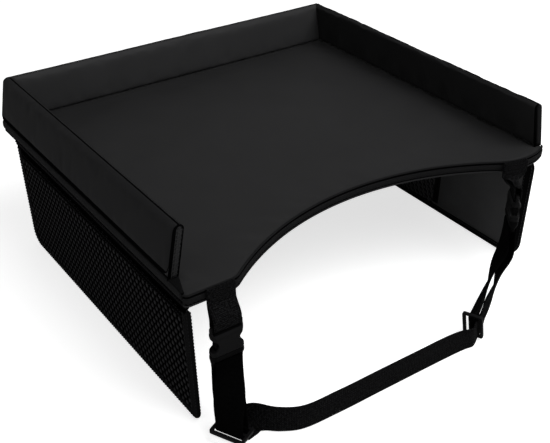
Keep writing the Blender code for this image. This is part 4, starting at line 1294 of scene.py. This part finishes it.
def loop_stations(side):
    high = chain_place(side) - UP * (RECEIVER_LENGTH + CLEAR + PLUG_BASE + PLUG_SLOT + BAR_HALF)
    drop = high.z - FLOOR_Z - SLIDER_LIFT[side]
    aside, forward = SLIDER_SHARES[side]
    low = high + Vector((aside * drop, forward * drop, -drop))
    way = SLIDER_WAY[side].normalized()
    turned = SLIDER_TURN[side]
    across = (turned - turned.project(way)).normalized()
    square = chain_across(side)
    run = webbing_axis(low + way * BAR_LEAD, high - UP * BAR_LEAD, way, UP, across, square)
    return [(low, way, across, way.cross(across))] + run + [(high, UP, square, UP.cross(square))]


def loop_route(side):
    stations = loop_stations(side)
    exit_side = SLIDER_EXIT[side]
    centre, way, across, normal = stations[0]
    outer = WRAP + WEB + CLEAR
    start = centre - way * (SLIDER_THICK / 2 + EXIT_DROP) + normal * (exit_side * outer)
    up_run = [start]
    for point, _, _, side_way in stations:
        far = ((point - centre).length - TAIL) / TAIL_BLEND
        up_run.append(point + side_way * (exit_side * (outer + (WRAP - outer) * smooth_share(far))))
    over = wrap(stations[-1], exit_side)
    down_run = [s[0] - s[3] * (exit_side * WRAP) for s in reversed(stations)]
    under = wrap((centre, -way, across, normal), -exit_side)
    tail = [centre + normal * (exit_side * WRAP), centre + way * TAIL + normal * (exit_side * WRAP)]
    turns = [s[2] for s in stations]
    widths = [across] + turns + [turns[-1]] * len(over) + turns[::-1]
    return up_run + over + down_run + under + tail, widths + [across] * (len(under) + len(tail))


def slopes(values, times):
    steps = [(b - a) / (u - t) for a, b, t, u in zip(values, values[1:], times, times[1:])]
    out = [steps[0]]
    for i in range(1, len(steps)):
        before = times[i] - times[i - 1]
        after = times[i + 1] - times[i]
        out.append((steps[i] * before + steps[i - 1] * after) / (before + after))
    return out + [steps[-1]]


def spline(points, values, steps):
    """The values along a smooth curve through the points, with steps between each two."""
    times = [0.0]
    for a, b in zip(points, points[1:]):
        times.append(times[-1] + math.sqrt((b - a).length))
    ways = slopes(values, times)
    out = []
    for i in range(len(points) - 1):
        span = times[i + 1] - times[i]
        for k in range(steps):
            t = k / steps
            rise = t * t * (3 - 2 * t)
            leave = t * (1 - t) ** 2 * span
            arrive = t * t * (t - 1) * span
            out.append(values[i] * (1 - rise) + values[i + 1] * rise + ways[i] * leave + ways[i + 1] * arrive)
    return out + [values[-1].copy()]


def strip_frame(centres, widths, i):
    last = len(centres) - 1
    ahead = (centres[min(i + 1, last)] - centres[max(i - 1, 0)]).normalized()
    across = (widths[i] - widths[i].project(ahead)).normalized()
    return across, ahead.cross(across)


def strip_reach(across, normal):
    return abs(across.z) * WEB_WIDTH / 2 + abs(normal.z) * WEB / 2


def settle(centres, widths, first, last):
    """Brings the stations down to the floor, fully from the last one on."""
    floor = FLOOR_Z + 2 * CLEAR
    level = [Vector((point.x, point.y, 0)) for point in centres]
    for i in range(first, len(centres)):
        ride = floor + strip_reach(*strip_frame(level, widths, i))
        share = smooth_share((i - first) / (last - first))
        centres[i].z += (ride - centres[i].z) * share
    for _ in range(SETTLE_PASSES):
        lowest = [c.z - strip_reach(*strip_frame(centres, widths, i)) for i, c in enumerate(centres)]
        for centre, low in zip(centres, lowest):
            centre.z += max(floor - CLEAR - low, 0.0)


def strap_route(side):
    centre, back, across, normal = loop_stations(side)[0]
    outer = WRAP + WEB + CLEAR
    below = SLIDER_THICK / 2 + EXIT_DROP + CLEAR
    exit_place = centre - back * below + normal * (SLIDER_EXIT[side] * outer)
    way = -back
    down = -UP
    start = exit_place + way * EXIT_LEAD
    turn = start + way * EXIT_RUN[side]
    keys = [start, turn]
    if side == "left":
        lead = across.cross(way)
        drop = turn.z - FLOOR_Z - WEB / 2 - 2 * CLEAR
        keys += [turn + way * (drop * fall) + lead * (drop * out) for fall, out in LEAD_SHARES]
    turns = [across] * len(keys)
    run = Vector((STRAP_MIDDLE, FRONT - STRAP_REACH, keys[-1].z)) - keys[-1]
    level = keys[-1]
    for along, aside, turned in STRAP_SHARES[side]:
        keys.append(level + Vector((run.x * along, run.y * aside, 0)))
        turns.append(across.lerp(down, turned))
    keys.append(level + run)
    turns.append(down)
    centres = [exit_place] + spline(keys, keys, STRAP_STEPS)
    widths = [across] + spline(keys, turns, STRAP_STEPS)
    first = (len(keys) - len(STRAP_SHARES[side]) - 2) * STRAP_STEPS + 1
    settle(centres, widths, first, first + SETTLE_STEPS[side])
    return centres, widths


# Webbing


SELVEDGE_WIDTH = 0.0022
SELVEDGE_ROUND = 0.0012
SELVEDGE_CORNER = 0.0004
WEB_HOLLOW_SHARE = 0.88


def web_section():
    """Webbing's section, with a rounded selvedge at each edge."""
    half, thick = WEB_WIDTH / 2, WEB / 2
    flat, rise = half - SELVEDGE_WIDTH, thick * WEB_HOLLOW_SHARE
    upper = [(x * flat / 4, rise) for x in range(-3, 5)]
    upper += [(half - SELVEDGE_ROUND, thick), (half - SELVEDGE_CORNER, thick * 0.82), (half, thick * 0.25)]
    lower = [(x, -y) for x, y in upper[:6:-1]]
    right = upper + lower + [(x, -y) for x, y in upper[6::-1]]
    return right + [(-x, y) for x, y in lower[::-1]] + [(-x, y) for x, y in upper[:6:-1]]


FINE = 3


def webbing(name, route, body, replaced, blend=None, surface=WEBBING, part=(0, None)):
    """A strip of webbing along its route, or along the part of it between two of its points."""
    centres = spline(route[0], route[0], FINE)
    widths = spline(route[0], route[1], FINE)
    begin = part[0] * FINE
    end = len(centres) - 1 if part[1] is None else part[1] * FINE
    section = web_section()
    rings = []
    for i in range(begin, end + 1):
        across, normal = strip_frame(centres, widths, i)
        rings.append([centres[i] + across * x + normal * y for x, y in section])
    places = [x for x, _ in section]
    points, faces, corners = tube(rings, lengths(centres)[begin:], places + places[:1])
    # Each cap gets points of its own, so its edge stays sharp
    for cap, ring in ((-2, rings[0]), (-1, rings[-1])):
        order = [k % len(section) for k in faces[cap]]
        faces[cap] = tuple(len(points) + k for k in order)
        corners[cap] = tuple(section[k][::-1] for k in order)
        points += ring
    piece = add_piece(name, points, faces, corners, surface, None if blend else body, "webbing", replaced)
    if blend:
        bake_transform(piece)


TACK_INSET = 0.0020
TACK_PITCH = 0.0007
TACK_RISE = 0.0015


def tab_stitches(side):
    """The bar tacks that hold a tab to the lip, and the box under it."""
    seat, level = tab_seat(side)
    away = (-UP).cross(level)
    face = seat + away * (2 * CLEAR + 2 * WEB + 0.00005)
    across = level * (WEB_WIDTH / 2 - TACK_INSET)
    high, low = -TACK_INSET, BOARD_LOW + TACK_RISE
    rows = []
    for z in (high, high - TACK_PITCH, low, low + TACK_PITCH):
        middle = face + UP * z
        rows.append((evenly(middle - across, middle + across, 12), away))
    for edge in (face - across, face + across):
        rows.append((evenly(edge + UP * high, edge + UP * low, 6), away))
    stitches("webbing_tab_stitches_" + side, rows, "tray", "webbing", DARK_AND_SHADE_TWINE)


# How far in from its two ends a webbing's blend from body to body would begin and stop. Nothing reads these
# shares: a webbing given a blend is left on no body, with its transform baked.
LOOP_BLEND_SHARES = (0.15, 0.25)
STRAP_BLEND_SHARES = (0.05, 0.05)
STRAP_SPLIT = {"left": 31, "right": 13}


def blending(first, second, start, end, shares):
    return first, second, start.lerp(end, shares[0]), end.lerp(start, shares[1])


def make_belt(side):
    """A tab, a loop and a half of the waist strap. The half is a piece at its slider and a middle piece."""
    belt, slider = side + "_belt_end", side + "_slider"
    webbing("tab_webbing_" + side, tab_route(side), "tray", ("webbing_tab_" + side,))
    tab_stitches(side)
    stations = loop_stations(side)
    blend = blending(slider, belt, stations[0][0], stations[-1][0], LOOP_BLEND_SHARES)
    webbing("loop_webbing_" + side, loop_route(side), belt, ("webbing_loop_" + side,), blend, SMOOTH_WEBBING)
    route = strap_route(side)
    at = STRAP_SPLIT[side]
    start, joint, end = route[0][0], route[0][at], route[0][-1]
    blend = blending(slider, belt, start, joint, STRAP_BLEND_SHARES)
    webbing("strap_webbing_" + side, route, belt, ("waist_strap_" + side,), blend, part=(0, at))
    blend = blending(belt, "tray", joint, end, STRAP_BLEND_SHARES)
    webbing("strap_middle_" + side, route, belt, (), blend, part=(at, None))


# Carried over CAD nodes


CARRIED = {
    "buckle_receiver_": PLASTIC, "triglide_": PLASTIC, "buckle_plug_": PLUG_PLASTIC, "wall_board_": INNER,
    "core_board": INNER,
}


def dress_cad_nodes():
    for start, surface in CARRIED.items():
        for name, node in frame["nodes"].items():
            if name.startswith(start):
                paint(node, surface)


def paint(node, surface):
    if not node.material_slots:
        node.data.materials.append(surface)
    for each in node.material_slots:
        each.material = surface


# Stage


CAMERA_TURN = math.radians(-34.935)
CAMERA_RISE = math.radians(31.961)
CAMERA_PLACE = Vector((-0.46489, -0.67426, 0.41216))
CAMERA_SENSOR = 36.0
CAMERA_LENS = 61.96
WHITE = (1.0, 1.0, 1.0, 1.0)
FLOOR_SHADE = 0.80
FLOOR_GLOW = 0.70
FLOOR_REACH = 6.0
WORLD_LIGHT = 0.20
LAMPS = (
    ("top_lamp", Vector((0.32, -0.62, 1.00)), Vector((0, 0, 0)), (1.0, 1.0), 14),
    ("left_lamp", Vector((-1.0, -0.2, 0.20)), Vector((-0.2, 0, -0.05)), (0.7, 0.5), 1.7),
)


def aim(name, data, place, way):
    """An object of the stage that stands at a place and looks along a way."""
    made = bpy.data.objects.new(name, data)
    made.location = place
    made.rotation_mode = "QUATERNION"
    made.rotation_quaternion = way.to_track_quat("-Z", "Y")
    bpy.context.scene.collection.objects.link(made)
    return made


def make_camera():
    data = bpy.data.cameras.new("camera")
    data.sensor_fit = "HORIZONTAL"
    data.sensor_width = CAMERA_SENSOR
    data.lens = CAMERA_LENS
    flat = math.cos(CAMERA_RISE)
    back = Vector((math.sin(CAMERA_TURN) * flat, -math.cos(CAMERA_TURN) * flat, math.sin(CAMERA_RISE)))
    bpy.context.scene.camera = aim("camera", data, CAMERA_PLACE, -back)


def make_lamp(name, place, target, size, power):
    data = bpy.data.lights.new(name, "AREA")
    data.shape = "RECTANGLE"
    data.size, data.size_y = size
    data.energy = power
    aim(name, data, place, target - place)


def make_floor():
    """The pale floor, which glows a little for the camera alone."""
    ends = ((-1, -1), (1, -1), (1, 1), (-1, 1))
    mesh = bpy.data.meshes.new("floor")
    mesh.from_pydata([(x * FLOOR_REACH, y * FLOOR_REACH, FLOOR_Z) for x, y in ends], [], [(0, 1, 2, 3)])
    floor = bpy.data.objects.new("floor", mesh)
    bpy.context.scene.collection.objects.link(floor)
    shader = Shader("pale_floor", FLOOR_SHADE, 0.0, 0.9, 0.0)
    shader.put("Emission Color", WHITE)
    rays = shader.node("ShaderNodeLightPath").outputs
    shader.put("Emission Strength", shader.product(rays["Is Camera Ray"], FLOOR_GLOW))
    mesh.materials.append(shader.material)


def make_world():
    """A soft grey light all round, which the camera sees as white."""
    world = bpy.data.worlds.new("studio")
    bpy.context.scene.world = world
    nodes = Nodes(world, "Background")
    rays = nodes.node("ShaderNodeLightPath").outputs
    seen = nodes.math("MAXIMUM", rays["Is Camera Ray"], rays["Is Transmission Ray"])
    seen = nodes.math("MAXIMUM", seen, rays["Is Glossy Ray"])
    nodes.put("Strength", nodes.spread(seen, WORLD_LIGHT, 1.0))
    nodes.put("Color", WHITE)


make_camera()
make_play_pad()
make_front_lip()
make_rim()
make_underside()
for each in ("left", "back", "right"):
    make_wall(each)
for each in SIDES:
    make_gusset(each)
    make_wing(each)
    make_tape(each)
    make_belt(each)
dress_cad_nodes()
make_floor()
make_world()
for lamp in LAMPS:
    make_lamp(*lamp)
bpy.context.scene.view_settings.view_transform = "Standard"
